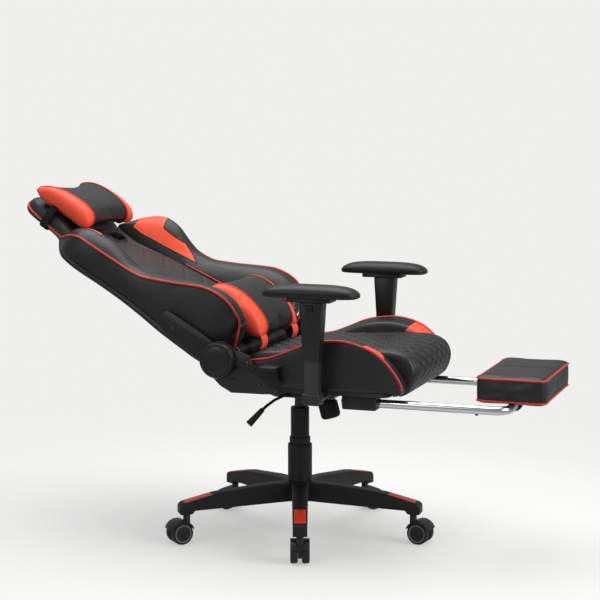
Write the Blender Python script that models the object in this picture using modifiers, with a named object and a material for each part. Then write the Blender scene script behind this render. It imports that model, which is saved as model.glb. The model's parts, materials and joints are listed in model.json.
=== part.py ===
"""Reclining gaming chair with a sliding footrest, on a five-leg caster base.

Everything is modelled in chair coordinates: the origin is on the floor under the
lift column, the chair faces -Y, +Z is up and the sitter's right hand is at -X.
An empty at the root then moves the whole chair so that its origin lies at the
middle of its footprint. Backrest pieces are modelled in the backrest's own frame
(X across, Y up along the back, Z towards the sitter), which the recline empty
turns and places. All lengths are metres and all angles are degrees.
"""

import math

import bmesh
import bpy
from mathutils import Matrix, Vector

RIGHT = -1
LEFT = 1
SIDES = {"right": RIGHT, "left": LEFT}

# ---------------------------------------------------------------- fits
TOUCH_GAP = 0.0003          # between pieces that rest on each other
RUNNING_GAP = 0.0004        # between pieces that slide or turn in each other

# ---------------------------------------------------------------- base and casters
LEG_COUNT = 5
FIRST_LEG_ANGLE = 199.8
LEG_REACH = 0.3395
STEM_REACH = 0.318          # lift column to caster stem
LEG_WIDTH_AT_HUB = 0.044
LEG_WIDTH_AT_TIP = 0.037
LEG_UNDERSIDE = 0.078       # boss face above each caster
LEG_KNEE = 0.240            # where the leg's top starts to slope down
LEG_KNEE_HEIGHT = 0.1295
STEM_BOSS = 0.014           # boss inwards of the caster stem
HUB_WALL = 0.0165            # round the lift tube, at the hub
HUB_TOP = 0.146
HUB_BOTTOM = 0.093
HUB_LIP = 0.004             # ledge that the lift tube stands on
CAP_START = 0.250           # red leg cap, measured along the leg
CAP_LENGTH = 0.076
CAP_WIDTH = 0.030
CAP_THICKNESS = 0.0034
CAP_PROUD = 0.0010
LEG_TOP_DROP = 12.5         # slope of the outer part of each leg's top
STEM_RADIUS = 0.0055
STEM_LENGTH = 0.022
WHEEL_RADIUS = 0.030
WHEEL_WIDTH = 0.0195
WHEEL_STEPS = 20
CASTER_TRAIL = 0.021
CASTER_WEB = 0.010          # hood wall between the two wheels
AXLE_RADIUS = 0.0035
FENDER_WALL = 0.003
PARKED_TRAILS = (20.0, 261.0, 320.0, 80.0, 139.0)

# ---------------------------------------------------------------- lift column
TUBE_RADIUS = 0.0225
HUB_RADIUS = TUBE_RADIUS + HUB_WALL
LEG_ROOT = HUB_RADIUS - 0.029  # where each leg starts inside the hub
TUBE_TOP = 0.228
PISTON_RADIUS = 0.0145
PISTON_BOTTOM = 0.182
PISTON_TOP = 0.405
COVER_WALL = 0.0018
COVER_LOWER_TOP = 0.248
COVER_MIDDLE_BOTTOM = 0.205
COVER_MIDDLE_TOP = 0.268
COVER_UPPER_BOTTOM = 0.230
COVER_UPPER_TOP = 0.349
COVER_FLARE = 0.0016        # how much wider the lower cover is at the hub

# ---------------------------------------------------------------- tilt mechanism
HOUSING_HALF_WIDTH = 0.060
HOUSING_FRONT = -0.118
HOUSING_REAR = 0.070
HOUSING_BOTTOM = 0.383
HOUSING_TOP = 0.4195
HOUSING_REAR_TOP = 0.396
ROCK_PIVOT_Y = -0.035
ROCK_PIVOT_Z = 0.405
ROCK_PIN_RADIUS = 0.005
PLATE_HALF_WIDTH = 0.105
PLATE_HALF_LENGTH = 0.118
PLATE_THICKNESS = 0.004
KNOB_LEAN = 15.4
KNOB_FOOT = (0.0, -0.0902, 0.324)
KNOB_RADIUS = 0.0265
KNOB_HEIGHT = 0.050
KNOB_STEM_RADIUS = 0.006
KNOB_STEM_LENGTH = 0.040
SPRING_RADIUS = 0.0125
SPRING_WIRE = 0.0022
SPRING_TURNS = 3
SPRING_PITCH = 0.0062
SPRING_CHAMBER = 0.0165
LEVER_HINGE = (-0.050, 0.010, 0.393)
LEVER_ROD = 0.004
LEVER_GRIP = 0.0095
LEVER_GRIP_OVERHANG = 0.013  # grip past the end of the rod

# ---------------------------------------------------------------- seat
SEAT_UNDERSIDE = 0.4318
SEAT_FRAME_THICKNESS = 0.012
SEAT_FRAME_FRONT = -0.320
SEAT_FRAME_REAR = 0.060
WINDOW_GRID = 3
WINDOW_SIZE = 0.095
SEAT_PANEL_HALF_WIDTH = 0.187
SEAT_HALF_WIDTH = 0.262
SEAT_FRAME_INSET = 0.017     # board inwards of the bolsters
SEAT_FRAME_HALF_WIDTH = SEAT_HALF_WIDTH - SEAT_FRAME_INSET
SEAT_REAR = 0.098           # back of the seat panel and bolsters

# ---------------------------------------------------------------- recliner
RECLINE_Y = 0.123
RECLINE_Z = 0.512
BACK_ANGLE = 33.0           # backrest above the horizontal, as parked
BRACKET_CLEARANCE = 0.004    # recliner plates outwards of the bolsters
BRACKET_INNER = SEAT_HALF_WIDTH + BRACKET_CLEARANCE
BRACKET_FLANGE = 0.040       # reach of the plate's flange under the board
BRACKET_THICKNESS = 0.006
RECLINER_RADIUS = 0.048
BOSS_RADIUS = 0.014
CAP_DISC_THICKNESS = 0.0165
RECLINE_LEVER_HINGE = (0.030, 0.492)
PADDLE_WIDTH = 0.044

# ---------------------------------------------------------------- backrest
SHELL_REAR = -0.045
SHELL_FRONT = -0.029
BACK_PANEL_HALF_WIDTH = 0.150
HARNESS_HOLE_CENTRE = (0.070, 0.532)
HARNESS_HOLE_SIZE = (0.064, 0.038)
HEAD_PILLOW_HALF_LENGTH = 0.147
LUMBAR_PILLOW_HALF_LENGTH = 0.147

# ---------------------------------------------------------------- arms
ARM_OFFSET = 0.051           # arm post outwards of the bolsters
ARM_X = SEAT_HALF_WIDTH + ARM_OFFSET
ARM_Y = -0.1465
POST_HALF_X = 0.016
POST_HALF_Y = 0.0175
POST_TOP = 0.580
SLEEVE_BOTTOM = 0.527
SLEEVE_TOP = 0.677
SLEEVE_WALL = 0.0032
SLEEVE_FLARE_X = 0.003
SLEEVE_FLARE_Y = 0.009
FLANGE_THICKNESS = 0.010
FLANGE_HALF_X = 0.028
FLANGE_LENGTH = 0.113
ARM_PAD_HALF_WIDTH = 0.0425
ARM_PAD_LENGTH = 0.250
ARM_PAD_CENTRE_Y = -0.1415
ARM_BAR_THICKNESS = 0.0045
ARM_BAR_INNER = 0.130
BUTTON_Z = 0.662
BUTTON_HALF_Y = 0.007
BUTTON_HALF_Z = 0.0065
BUTTON_TRAVEL = 0.003

# ---------------------------------------------------------------- footrest
RAIL_X = 0.200
RAIL_Z = 0.4105
RAIL_RADIUS = 0.011
RAIL_REAR = -0.187
CROSSBAR_Y = -0.612
RAIL_BEND = 0.035
GUIDE_FRONT = -0.285
GUIDE_REAR = -0.195
GUIDE_INNER = 0.184
GUIDE_OUTER = 0.232
GUIDE_BOTTOM = 0.3955
FOOT_PAD_HALF_WIDTH = 0.1665
FOOT_PAD_LENGTH = 0.1845
FOOT_PAD_THICKNESS = 0.063
LUG_X = 0.090
LUG_WIDTH = 0.020
LUG_WALL = 0.005

FINISHES = {
    "nylon": ((0.020, 0.020, 0.022), 0.45, 0.0),
    "leather": ((0.028, 0.028, 0.030), 0.50, 0.0),
    "red leather": ((0.80, 0.065, 0.025), 0.45, 0.0),
    "red plastic": ((0.75, 0.040, 0.020), 0.35, 0.0),
    "black steel": ((0.025, 0.025, 0.027), 0.40, 0.6),
    "chrome": ((0.80, 0.80, 0.82), 0.10, 1.0),
    "foam plastic": ((0.030, 0.030, 0.032), 0.70, 0.0),
}


# ================================================================ helpers
def clear_scene():
    """Remove every object, so that the script can run in any open file."""
    for item in list(bpy.data.objects):
        bpy.data.objects.remove(item, do_unlink=True)


def new_collection(name):
    """Make a collection in the scene."""
    collection = bpy.data.collections.new(name)
    bpy.context.scene.collection.children.link(collection)
    return collection


def make_finish(name):
    """Make one material of the finishes above."""
    colour, roughness, metallic = FINISHES[name]
    finish = bpy.data.materials.new(name)
    finish.use_nodes = True
    shader = finish.node_tree.nodes["Principled BSDF"]
    shader.inputs["Base Color"].default_value = (*colour, 1.0)
    shader.inputs["Roughness"].default_value = roughness
    shader.inputs["Metallic"].default_value = metallic
    return finish


def polar(radius, degrees, centre=(0.0, 0.0)):
    """A point on a circle."""
    angle = math.radians(degrees)
    return (centre[0] + radius * math.cos(angle), centre[1] + radius * math.sin(angle))


def arc(centre, radius, start, end, steps):
    """Points along an arc, both ends included."""
    return [polar(radius, start + (end - start) * i / steps, centre) for i in range(steps + 1)]


def object_from_bmesh(name, shape):
    """Turn a bmesh into an object in the parts collection."""
    mesh = bpy.data.meshes.new(name)
    shape.to_mesh(mesh)
    shape.free()
    piece = bpy.data.objects.new(name, mesh)
    PARTS.objects.link(piece)
    return piece


def as_mesh(source, frame=None):
    """Replace an object by its evaluated mesh, with loose caps welded."""
    bpy.context.view_layer.update()
    evaluated = source.evaluated_get(bpy.context.evaluated_depsgraph_get())
    mesh = bpy.data.meshes.new_from_object(evaluated)
    shape = bmesh.new()
    shape.from_mesh(mesh)
    bmesh.ops.remove_doubles(shape, verts=shape.verts, dist=1e-5)
    bmesh.ops.recalc_face_normals(shape, faces=shape.faces)
    if frame is not None:
        shape.transform(frame)
    name = source.name
    for modifier in source.modifiers:
        if modifier.type == "BOOLEAN":
            bpy.data.objects.remove(modifier.object, do_unlink=True)
    bpy.data.objects.remove(source, do_unlink=True)
    bpy.data.meshes.remove(mesh)
    return object_from_bmesh(name, shape)


def box(name, low, high):
    """A box between two corners."""
    shape = bmesh.new()
    bmesh.ops.create_cube(shape, size=1.0)
    middle = (Vector(low) + Vector(high)) / 2
    size = Vector(high) - Vector(low)
    bmesh.ops.scale(shape, vec=size, verts=shape.verts)
    bmesh.ops.translate(shape, vec=middle, verts=shape.verts)
    return object_from_bmesh(name, shape)


def side_box(name, side, across, along, up):
    """A box on one side of the chair, from (inner, outer), (front, rear) and (low, high)."""
    inner, outer = sorted((side * across[0], side * across[1]))
    return box(name, (inner, along[0], up[0]), (outer, along[1], up[1]))


def rod(name, start, end, radius, steps=16, end_radius=None):
    """A straight round bar between two points."""
    start, end = Vector(start), Vector(end)
    turn = (end - start).to_track_quat("Z", "Y").to_matrix().to_4x4()
    shape = bmesh.new()
    bmesh.ops.create_cone(
        shape, cap_ends=True, segments=steps, radius1=radius,
        radius2=radius if end_radius is None else end_radius,
        depth=(end - start).length,
        matrix=Matrix.Translation((start + end) / 2) @ turn)
    return object_from_bmesh(name, shape)


def turned(name, profile, steps=24, first_angle=0.0):
    """A body of revolution about Z; the profile runs down its outer side."""
    shape = bmesh.new()
    points = [shape.verts.new((radius, 0.0, height)) for radius, height in profile]
    closed = all(radius > 1e-6 for radius, height in profile)
    for i in range(len(points) if closed else len(points) - 1):
        shape.edges.new((points[i], points[(i + 1) % len(points)]))
    source = object_from_bmesh(name, shape)
    screw = source.modifiers.new("turn", "SCREW")
    screw.steps = steps
    screw.render_steps = steps
    screw.use_merge_vertices = True
    screw.merge_threshold = 0.0001
    return as_mesh(source, Matrix.Rotation(math.radians(first_angle), 4, "Z"))


def outline_solid(name, outline, low, high, frame=Matrix(), holes=()):
    """A flat outline in XY, filled and drawn out along Z, then moved by a frame."""
    curve = bpy.data.curves.new(name, "CURVE")
    curve.dimensions = "2D"
    curve.fill_mode = "BOTH"
    curve.extrude = (high - low) / 2
    for points in (outline, *holes):
        spline = curve.splines.new("POLY")
        spline.points.add(len(points) - 1)
        for point, (x, y) in zip(spline.points, points):
            point.co = (x, y, 0.0, 1.0)
        spline.use_cyclic_u = True
    source = bpy.data.objects.new(name, curve)
    PARTS.objects.link(source)
    return as_mesh(source, frame @ Matrix.Translation((0.0, 0.0, (low + high) / 2)))


# Turns an outline's (x, y) into chair (y, z), drawn out along X.
SIDE_VIEW = Matrix(((0, 0, 1, 0), (1, 0, 0, 0), (0, 1, 0, 0), (0, 0, 0, 1)))


def side_solid(name, outline, across, side=LEFT, holes=()):
    """A side-view outline, drawn out across the chair from inner to outer."""
    low, high = sorted((side * across[0], side * across[1]))
    return outline_solid(name, outline, low, high, SIDE_VIEW, holes)


def tube(name, points, radius, resolution=2):
    """A round bar along a list of points."""
    curve = bpy.data.curves.new(name, "CURVE")
    curve.dimensions = "3D"
    curve.bevel_depth = radius
    curve.bevel_resolution = resolution
    curve.use_fill_caps = True
    spline = curve.splines.new("POLY")
    spline.points.add(len(points) - 1)
    for point, place in zip(spline.points, points):
        point.co = (*place, 1.0)
    source = bpy.data.objects.new(name, curve)
    PARTS.objects.link(source)
    return as_mesh(source)


def round_edges(piece, width, segments=2, angle=30.0):
    """Bevel the edges that are sharper than an angle."""
    bevel = piece.modifiers.new("edges", "BEVEL")
    bevel.width = width
    bevel.segments = segments
    bevel.limit_method = "ANGLE"
    bevel.angle_limit = math.radians(angle)
    return piece


def combine(piece, other, operation):
    """Boolean with another object, which moves to the cutters collection."""
    PARTS.objects.unlink(other)
    CUTTERS.objects.link(other)
    other.hide_render = True
    other.display_type = "WIRE"
    boolean = piece.modifiers.new(operation.lower(), "BOOLEAN")
    boolean.operation = operation
    boolean.object = other
    boolean.solver = "EXACT"
    return piece


def cut(piece, *cutters):
    """Cut other shapes out of a piece."""
    for cutter in cutters:
        combine(piece, cutter, "DIFFERENCE")
    return piece


def join(piece, *others):
    """Join other shapes to a piece as one solid."""
    for other in others:
        combine(piece, other, "UNION")
    return piece


def finish(piece, finish_name, smooth_angle=35.0):
    """Give a piece its material, with smooth shading between its sharp edges."""
    piece.data.materials.clear()
    piece.data.materials.append(MATERIALS[finish_name])
    piece.data.shade_smooth()
    piece.data.set_sharp_from_angle(angle=math.radians(smooth_angle))
    return piece


class Body:
    """A rigid group of pieces on an empty that stands on its joint's axis."""

    def __init__(self, name, parent, at, turn=(0.0, 0.0, 0.0), own_frame=False):
        self.at = Vector(at)
        self.own_frame = own_frame
        self.empty = bpy.data.objects.new(name, None)
        self.empty.empty_display_size = 0.03
        self.empty.rotation_euler = [math.radians(angle) for angle in turn]
        PARTS.objects.link(self.empty)
        if parent is not None:
            self.empty.parent = parent.empty
            self.empty.location = self.at if parent.own_frame else self.at - parent.at

    def add(self, piece):
        """Attach a piece, and the shapes cut from it or joined to it."""
        piece.parent = self.empty
        if not self.own_frame:
            piece.location = -self.at
        for modifier in piece.modifiers:
            if modifier.type == "BOOLEAN":
                self.add(modifier.object)
        return piece


# ================================================================ base
def leg_outline():
    """Side view of one leg: distance from the column and height."""
    drop = math.tan(math.radians(LEG_TOP_DROP))
    tip_height = LEG_KNEE_HEIGHT - (LEG_REACH - LEG_KNEE) * drop
    inner_boss = STEM_REACH - STEM_BOSS
    return [
        (LEG_ROOT, HUB_TOP - 0.001), (0.110, 0.1415), (LEG_KNEE, LEG_KNEE_HEIGHT),
        (LEG_REACH - 0.006, tip_height + 0.006 * drop), (LEG_REACH, tip_height - 0.006),
        (LEG_REACH, LEG_UNDERSIDE), (inner_boss, LEG_UNDERSIDE),
        (inner_boss - 0.004, LEG_UNDERSIDE + 0.009), (LEG_ROOT, HUB_BOTTOM + 0.001)]


def cap_frame():
    """Where the leg cap lies: X along the leg, Z out of its sloping top."""
    slope = math.radians(LEG_TOP_DROP)
    middle = CAP_START + CAP_LENGTH / 2
    height = LEG_KNEE_HEIGHT - (middle - LEG_KNEE) * math.tan(slope)
    return Matrix.Translation((middle, 0.0, height)) @ Matrix.Rotation(slope, 4, "Y")


def cap_block(name, margin):
    """The leg cap's block, or with a margin the pocket it lies in."""
    half_length = CAP_LENGTH / 2 + margin
    half_width = CAP_WIDTH / 2 + margin
    sunk = CAP_THICKNESS - CAP_PROUD + margin
    block = box(name, (-half_length, -half_width, -sunk), (half_length, half_width, CAP_PROUD))
    block.data.transform(cap_frame())
    return block


def make_leg(angle):
    """One leg with its cap pocket and stem socket, turned to its angle."""
    leg = outline_solid(
        "leg", leg_outline(), -LEG_WIDTH_AT_HUB / 2, LEG_WIDTH_AT_HUB / 2,
        Matrix.Rotation(math.radians(90), 4, "X"))
    narrowing = 1 - LEG_WIDTH_AT_TIP / LEG_WIDTH_AT_HUB
    for vertex in leg.data.vertices:
        vertex.co.y *= 1 - narrowing * vertex.co.x / LEG_REACH
    round_edges(leg, 0.003, 1)
    socket = rod(
        "stem socket", (STEM_REACH, 0, LEG_UNDERSIDE - 0.01),
        (STEM_REACH, 0, LEG_UNDERSIDE + STEM_LENGTH + 0.001), STEM_RADIUS + RUNNING_GAP)
    cut(leg, cap_block("cap pocket", TOUCH_GAP), socket)
    return as_mesh(leg, Matrix.Rotation(math.radians(angle), 4, "Z"))


def make_base(body):
    """Five-leg base with its leg caps."""
    bore = TUBE_RADIUS + TOUCH_GAP
    hub = turned("star_base", [
        (HUB_RADIUS - 0.003, HUB_TOP), (HUB_RADIUS, HUB_TOP - 0.004),
        (HUB_RADIUS, HUB_BOTTOM + 0.003), (HUB_RADIUS - 0.003, HUB_BOTTOM),
        (bore - 0.007, HUB_BOTTOM), (bore - 0.007, HUB_TOP)], 32)
    angles = [FIRST_LEG_ANGLE + 360 / LEG_COUNT * i for i in range(LEG_COUNT)]
    join(hub, *[make_leg(angle) for angle in angles])
    well = rod("tube bore", (0, 0, HUB_BOTTOM + HUB_LIP), (0, 0, HUB_TOP + 0.02), bore, 32)
    drain = rod("lip hole", (0, 0, HUB_BOTTOM - 0.02), (0, 0, HUB_TOP), bore - 0.004, 32)
    cut(hub, well, drain)
    body.add(finish(hub, "nylon"))
    for number, angle in enumerate(angles, 1):
        cap = cap_block(f"leg_cap_{number}", 0.0)
        cap.data.transform(Matrix.Rotation(math.radians(angle), 4, "Z"))
        round_edges(cap, 0.0008, 1)
        body.add(finish(cap, "red plastic"))


# ================================================================ casters
def hood_mesh():
    """Caster hood: web between the wheels, fender, stem and axle.

    Its own frame stands on the stem's axis at floor level, trailing along +Y.
    """
    axle_height = WHEEL_RADIUS * math.cos(math.pi / WHEEL_STEPS)
    axle = (CASTER_TRAIL, axle_height)
    inner = WHEEL_RADIUS + 0.0012
    outer = inner + FENDER_WALL
    half_width = CASTER_WEB / 2 + TOUCH_GAP + WHEEL_WIDTH
    fender_outline = arc(axle, outer, 20, 160, 7) + arc(axle, inner, 160, 20, 7)
    web_outline = arc(axle, WHEEL_RADIUS * 0.62, -150, -20, 4)
    web_outline += arc(axle, inner + 0.0015, 20, 150, 7)
    hood = side_solid("hood", web_outline, (-CASTER_WEB / 2, CASTER_WEB / 2))
    fender = side_solid("fender", fender_outline, (-half_width, half_width))
    neck_foot = axle_height + WHEEL_RADIUS
    neck = rod("neck", (0, 0, neck_foot - 0.008), (0, 0, LEG_UNDERSIDE - 0.0015), 0.0095)
    stem = rod("stem", (0, 0, neck_foot), (0, 0, LEG_UNDERSIDE + STEM_LENGTH), STEM_RADIUS, 12)
    axle_end = half_width - 0.001
    pin = rod("axle", (-axle_end, *axle), (axle_end, *axle), AXLE_RADIUS, 12)
    clearance = [
        rod("wheel room", (side * (CASTER_WEB / 2), *axle),
            (side * (half_width + 0.001), *axle), WHEEL_RADIUS + 0.001, 24)
        for side in (RIGHT, LEFT)]
    join(hood, fender, neck)
    cut(hood, *clearance)
    join(hood, stem, pin)
    return as_mesh(hood)


def wheel_mesh():
    """One caster wheel about Z, from z = 0 to its width, a flat facet facing -Y."""
    bore = AXLE_RADIUS + RUNNING_GAP
    edge = 0.0025
    return turned("wheel", [
        (WHEEL_RADIUS - edge, WHEEL_WIDTH), (WHEEL_RADIUS, WHEEL_WIDTH - edge),
        (WHEEL_RADIUS, edge), (WHEEL_RADIUS - edge, 0.0), (bore, 0.0), (bore, WHEEL_WIDTH)],
        WHEEL_STEPS, 180 / WHEEL_STEPS)


def make_casters(base):
    """Five twin-wheel casters, each on its own swivel."""
    hood_pattern = hood_mesh()
    wheel_pattern = wheel_mesh()
    axle_height = WHEEL_RADIUS * math.cos(math.pi / WHEEL_STEPS)
    inner_face = CASTER_WEB / 2 + TOUCH_GAP
    for number in range(1, LEG_COUNT + 1):
        angle = FIRST_LEG_ANGLE + 360 / LEG_COUNT * (number - 1)
        x, y = polar(STEM_REACH, angle)
        trail = PARKED_TRAILS[number - 1] - 90.0
        caster = Body(f"caster_{number}", base, (x, y, 0.0), (0, 0, trail), own_frame=True)
        hood = bpy.data.objects.new(f"caster_hood_{number}", hood_pattern.data)
        PARTS.objects.link(hood)
        caster.add(hood)
        for letter, side in (("a", RIGHT), ("b", LEFT)):
            wheel = bpy.data.objects.new(f"caster_wheel_{number}{letter}", wheel_pattern.data)
            PARTS.objects.link(wheel)
            wheel.location = (side * inner_face, CASTER_TRAIL, axle_height)
            wheel.rotation_euler = (0.0, side * math.radians(90), 0.0)
            wheel.parent = caster.empty
    finish(hood_pattern, "nylon")
    finish(wheel_pattern, "nylon")
    bpy.data.objects.remove(hood_pattern, do_unlink=True)
    bpy.data.objects.remove(wheel_pattern, do_unlink=True)


# ================================================================ lift column
def cover_radii():
    """Inner and outer radii of the upper, middle and lower covers."""
    upper_inner = TUBE_RADIUS + 2 * RUNNING_GAP
    upper = (upper_inner, upper_inner + COVER_WALL)
    middle = (upper[1] + RUNNING_GAP, upper[1] + RUNNING_GAP + 1.6 * COVER_WALL)
    lower = (middle[1] + RUNNING_GAP, middle[1] + RUNNING_GAP + 1.4 * COVER_WALL)
    return upper, middle, lower


def make_column(base, cover_body, lift):
    """Lift tube, piston and the three telescoping covers."""
    upper, middle, lower = cover_radii()
    floor = HUB_BOTTOM + HUB_LIP + TOUCH_GAP
    bore = PISTON_RADIUS + RUNNING_GAP
    cylinder = turned("lift_cylinder", [
        (0.0, TUBE_TOP), (TUBE_RADIUS, TUBE_TOP), (TUBE_RADIUS, floor), (0.0, floor)], 32)
    cut(cylinder, rod("piston bore", (0, 0, floor + 0.003), (0, 0, TUBE_TOP + 0.01), bore, 32))
    base.add(finish(cylinder, "black steel"))
    piston = turned("lift_piston", [
        (0.0, PISTON_TOP), (PISTON_RADIUS - 0.0005, PISTON_TOP), (PISTON_RADIUS, PISTON_TOP - 0.03),
        (PISTON_RADIUS, PISTON_BOTTOM), (0.0, PISTON_BOTTOM)], 24)
    lift.add(finish(piston, "black steel"))
    foot = HUB_TOP + TOUCH_GAP
    base.add(finish(turned("cover_lower", [
        (lower[1], COVER_LOWER_TOP), (lower[1] + COVER_FLARE, foot),
        (lower[0], foot), (lower[0], COVER_LOWER_TOP)], 24), "nylon"))
    cover_body.add(finish(turned("cover_middle", [
        (middle[1], COVER_MIDDLE_TOP), (middle[1], COVER_MIDDLE_BOTTOM),
        (middle[0], COVER_MIDDLE_BOTTOM), (middle[0], COVER_MIDDLE_TOP)], 24), "nylon"))
    collar = PISTON_RADIUS + TOUCH_GAP
    lift.add(finish(turned("cover_upper", [
        (upper[1] - 0.001, COVER_UPPER_TOP), (upper[1], COVER_UPPER_TOP - 0.001),
        (upper[1], COVER_UPPER_BOTTOM), (upper[0], COVER_UPPER_BOTTOM),
        (upper[0], COVER_UPPER_TOP - 0.002), (collar, COVER_UPPER_TOP - 0.002),
        (collar, COVER_UPPER_TOP)], 24), "nylon"))


# ================================================================ tilt mechanism
def knob_point(height, offset=0.0):
    """A point on the tension knob's leaning axis, by distance along it."""
    lean = math.radians(KNOB_LEAN)
    foot = Vector(KNOB_FOOT)
    return foot + Vector((offset, math.sin(lean) * height, math.cos(lean) * height))


def distance_to_height(z):
    """Distance along the knob's axis at which it reaches a height."""
    return (z - KNOB_FOOT[2]) / math.cos(math.radians(KNOB_LEAN))


def make_housing(body):
    """Pressed steel housing with its piston socket, spring chamber and pin bore."""
    outline = [
        (HOUSING_FRONT, HOUSING_TOP), (HOUSING_FRONT, HOUSING_BOTTOM + 0.008),
        (HOUSING_FRONT + 0.008, HOUSING_BOTTOM), (HOUSING_REAR - 0.020, HOUSING_BOTTOM),
        (HOUSING_REAR, HOUSING_REAR_TOP - 0.006), (HOUSING_REAR, HOUSING_REAR_TOP),
        (ROCK_PIVOT_Y, HOUSING_TOP)]
    housing = side_solid("mechanism_housing", outline, (-HOUSING_HALF_WIDTH, HOUSING_HALF_WIDTH))
    round_edges(housing, 0.003)
    chamber_floor = distance_to_height(HOUSING_BOTTOM + 0.007)
    beyond = distance_to_height(HOUSING_TOP + 0.02)
    pin = (ROCK_PIVOT_Y, ROCK_PIVOT_Z)
    reach = HOUSING_HALF_WIDTH + 0.01
    lever_y, lever_z = LEVER_HINGE[1:]
    cut(housing,
        rod("piston socket", (0, 0, HOUSING_BOTTOM - 0.01), (0, 0, PISTON_TOP + TOUCH_GAP),
            PISTON_RADIUS + TOUCH_GAP, 24),
        rod("spring chamber", knob_point(chamber_floor), knob_point(beyond), SPRING_CHAMBER, 24),
        rod("knob hole", knob_point(distance_to_height(HOUSING_BOTTOM - 0.02)),
            knob_point(chamber_floor + 0.01), KNOB_STEM_RADIUS + RUNNING_GAP),
        rod("pin bore", (-reach, *pin), (reach, *pin), ROCK_PIN_RADIUS + RUNNING_GAP),
        rod("lever socket", (-reach, lever_y, lever_z), (LEVER_HINGE[0] + 0.004, lever_y, lever_z),
            LEVER_ROD + 0.0014))
    body.add(finish(housing, "black steel"))


def make_spring(body):
    """Rock tension spring round the knob's stem."""
    start = distance_to_height(HOUSING_BOTTOM + 0.007) + SPRING_WIRE + TOUCH_GAP
    frame = Matrix.Translation(knob_point(start))
    frame = frame @ Matrix.Rotation(-math.radians(KNOB_LEAN), 4, "X")
    steps_per_turn = 10
    points = []
    for i in range(SPRING_TURNS * steps_per_turn + 1):
        x, y = polar(SPRING_RADIUS, 360 * i / steps_per_turn)
        points.append(frame @ Vector((x, y, SPRING_PITCH * i / steps_per_turn)))
    body.add(finish(tube("tension_spring", points, SPRING_WIRE), "black steel"))


def make_knob(body):
    """Rock tension knob with its stem."""
    grip_top = KNOB_HEIGHT
    knob = turned("tension_knob", [
        (0.0, grip_top + KNOB_STEM_LENGTH), (KNOB_STEM_RADIUS, grip_top + KNOB_STEM_LENGTH),
        (KNOB_STEM_RADIUS, grip_top), (KNOB_RADIUS - 0.005, grip_top),
        (KNOB_RADIUS - 0.002, grip_top - 0.004), (KNOB_RADIUS, 0.004),
        (KNOB_RADIUS - 0.004, 0.0), (0.0, 0.0)], 20)
    body.add(finish(knob, "nylon"))


def make_height_lever(body):
    """Bent rod with a grip, which opens the lift valve."""
    hinge = Vector(LEVER_HINGE)
    path = [
        hinge + Vector((0.002, 0, 0)), hinge + Vector((-0.045, 0.004, 0.0)),
        hinge + Vector((-0.075, 0.016, -0.006)), hinge + Vector((-0.098, 0.028, -0.017)),
        hinge + Vector((-0.110, 0.036, -0.026)), hinge + Vector((-0.120, 0.062, -0.056))]
    lever = tube("height_lever", path, LEVER_ROD)
    grip_start = path[-2]
    grip_end = path[-1] + (path[-1] - path[-2]).normalized() * LEVER_GRIP_OVERHANG
    grip = rod("grip", grip_start, grip_end, LEVER_GRIP * 0.7, 14, LEVER_GRIP)
    body.add(finish(join(lever, grip), "nylon"))


def make_seat_plate(body):
    """Steel plate under the seat, with two ears and the rock pivot pin."""
    top = SEAT_UNDERSIDE - TOUCH_GAP
    plate = box("seat_plate", (-PLATE_HALF_WIDTH, -PLATE_HALF_LENGTH, top - PLATE_THICKNESS),
                (PLATE_HALF_WIDTH, PLATE_HALF_LENGTH, top))
    ear_inner = HOUSING_HALF_WIDTH + RUNNING_GAP
    ear_outline = [
        (ROCK_PIVOT_Y - 0.022, top - 0.001), (ROCK_PIVOT_Y - 0.012, ROCK_PIVOT_Z - 0.008),
        (ROCK_PIVOT_Y, ROCK_PIVOT_Z - 0.012), (ROCK_PIVOT_Y + 0.012, ROCK_PIVOT_Z - 0.008),
        (ROCK_PIVOT_Y + 0.022, top - 0.001)]
    ears = [side_solid("ear", ear_outline, (ear_inner, ear_inner + PLATE_THICKNESS), side)
            for side in (RIGHT, LEFT)]
    reach = ear_inner + PLATE_THICKNESS / 2
    pin = rod("rock pin", (-reach, ROCK_PIVOT_Y, ROCK_PIVOT_Z), (reach, ROCK_PIVOT_Y, ROCK_PIVOT_Z),
              ROCK_PIN_RADIUS)
    body.add(finish(join(plate, *ears, pin), "black steel"))


# ================================================================ seat
def make_seat_frame(body):
    """Flat seat frame with a grid of windows."""
    middle = (SEAT_FRAME_FRONT + SEAT_FRAME_REAR) / 2
    half_length = (SEAT_FRAME_REAR - SEAT_FRAME_FRONT) / 2
    rim = rounded_rectangle((0.0, middle), SEAT_FRAME_HALF_WIDTH, half_length, 0.03)
    pitch_x = 2 * SEAT_FRAME_HALF_WIDTH / (WINDOW_GRID + 0.5)
    pitch_y = 2 * half_length / (WINDOW_GRID + 0.3)
    windows = []
    for i in range(WINDOW_GRID):
        for j in range(WINDOW_GRID):
            centre = ((i - (WINDOW_GRID - 1) / 2) * pitch_x,
                      middle + (j - (WINDOW_GRID - 1) / 2) * pitch_y)
            windows.append(rounded_rectangle(centre, WINDOW_SIZE / 2, WINDOW_SIZE / 2, 0.012, 1))
    body.add(finish(outline_solid(
        "seat_frame", rim, SEAT_UNDERSIDE, SEAT_UNDERSIDE + SEAT_FRAME_THICKNESS, holes=windows),
        "black steel"))


def rounded_rectangle(centre, half_x, half_y, radius, steps=3):
    """Outline of a rectangle with round corners."""
    corners = ((1, 1, 0), (-1, 1, 90), (-1, -1, 180), (1, -1, 270))
    points = []
    for x_sign, y_sign, start in corners:
        corner = (centre[0] + x_sign * (half_x - radius), centre[1] + y_sign * (half_y - radius))
        points += arc(corner, radius, start, start + 90, steps)
    return points


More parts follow.
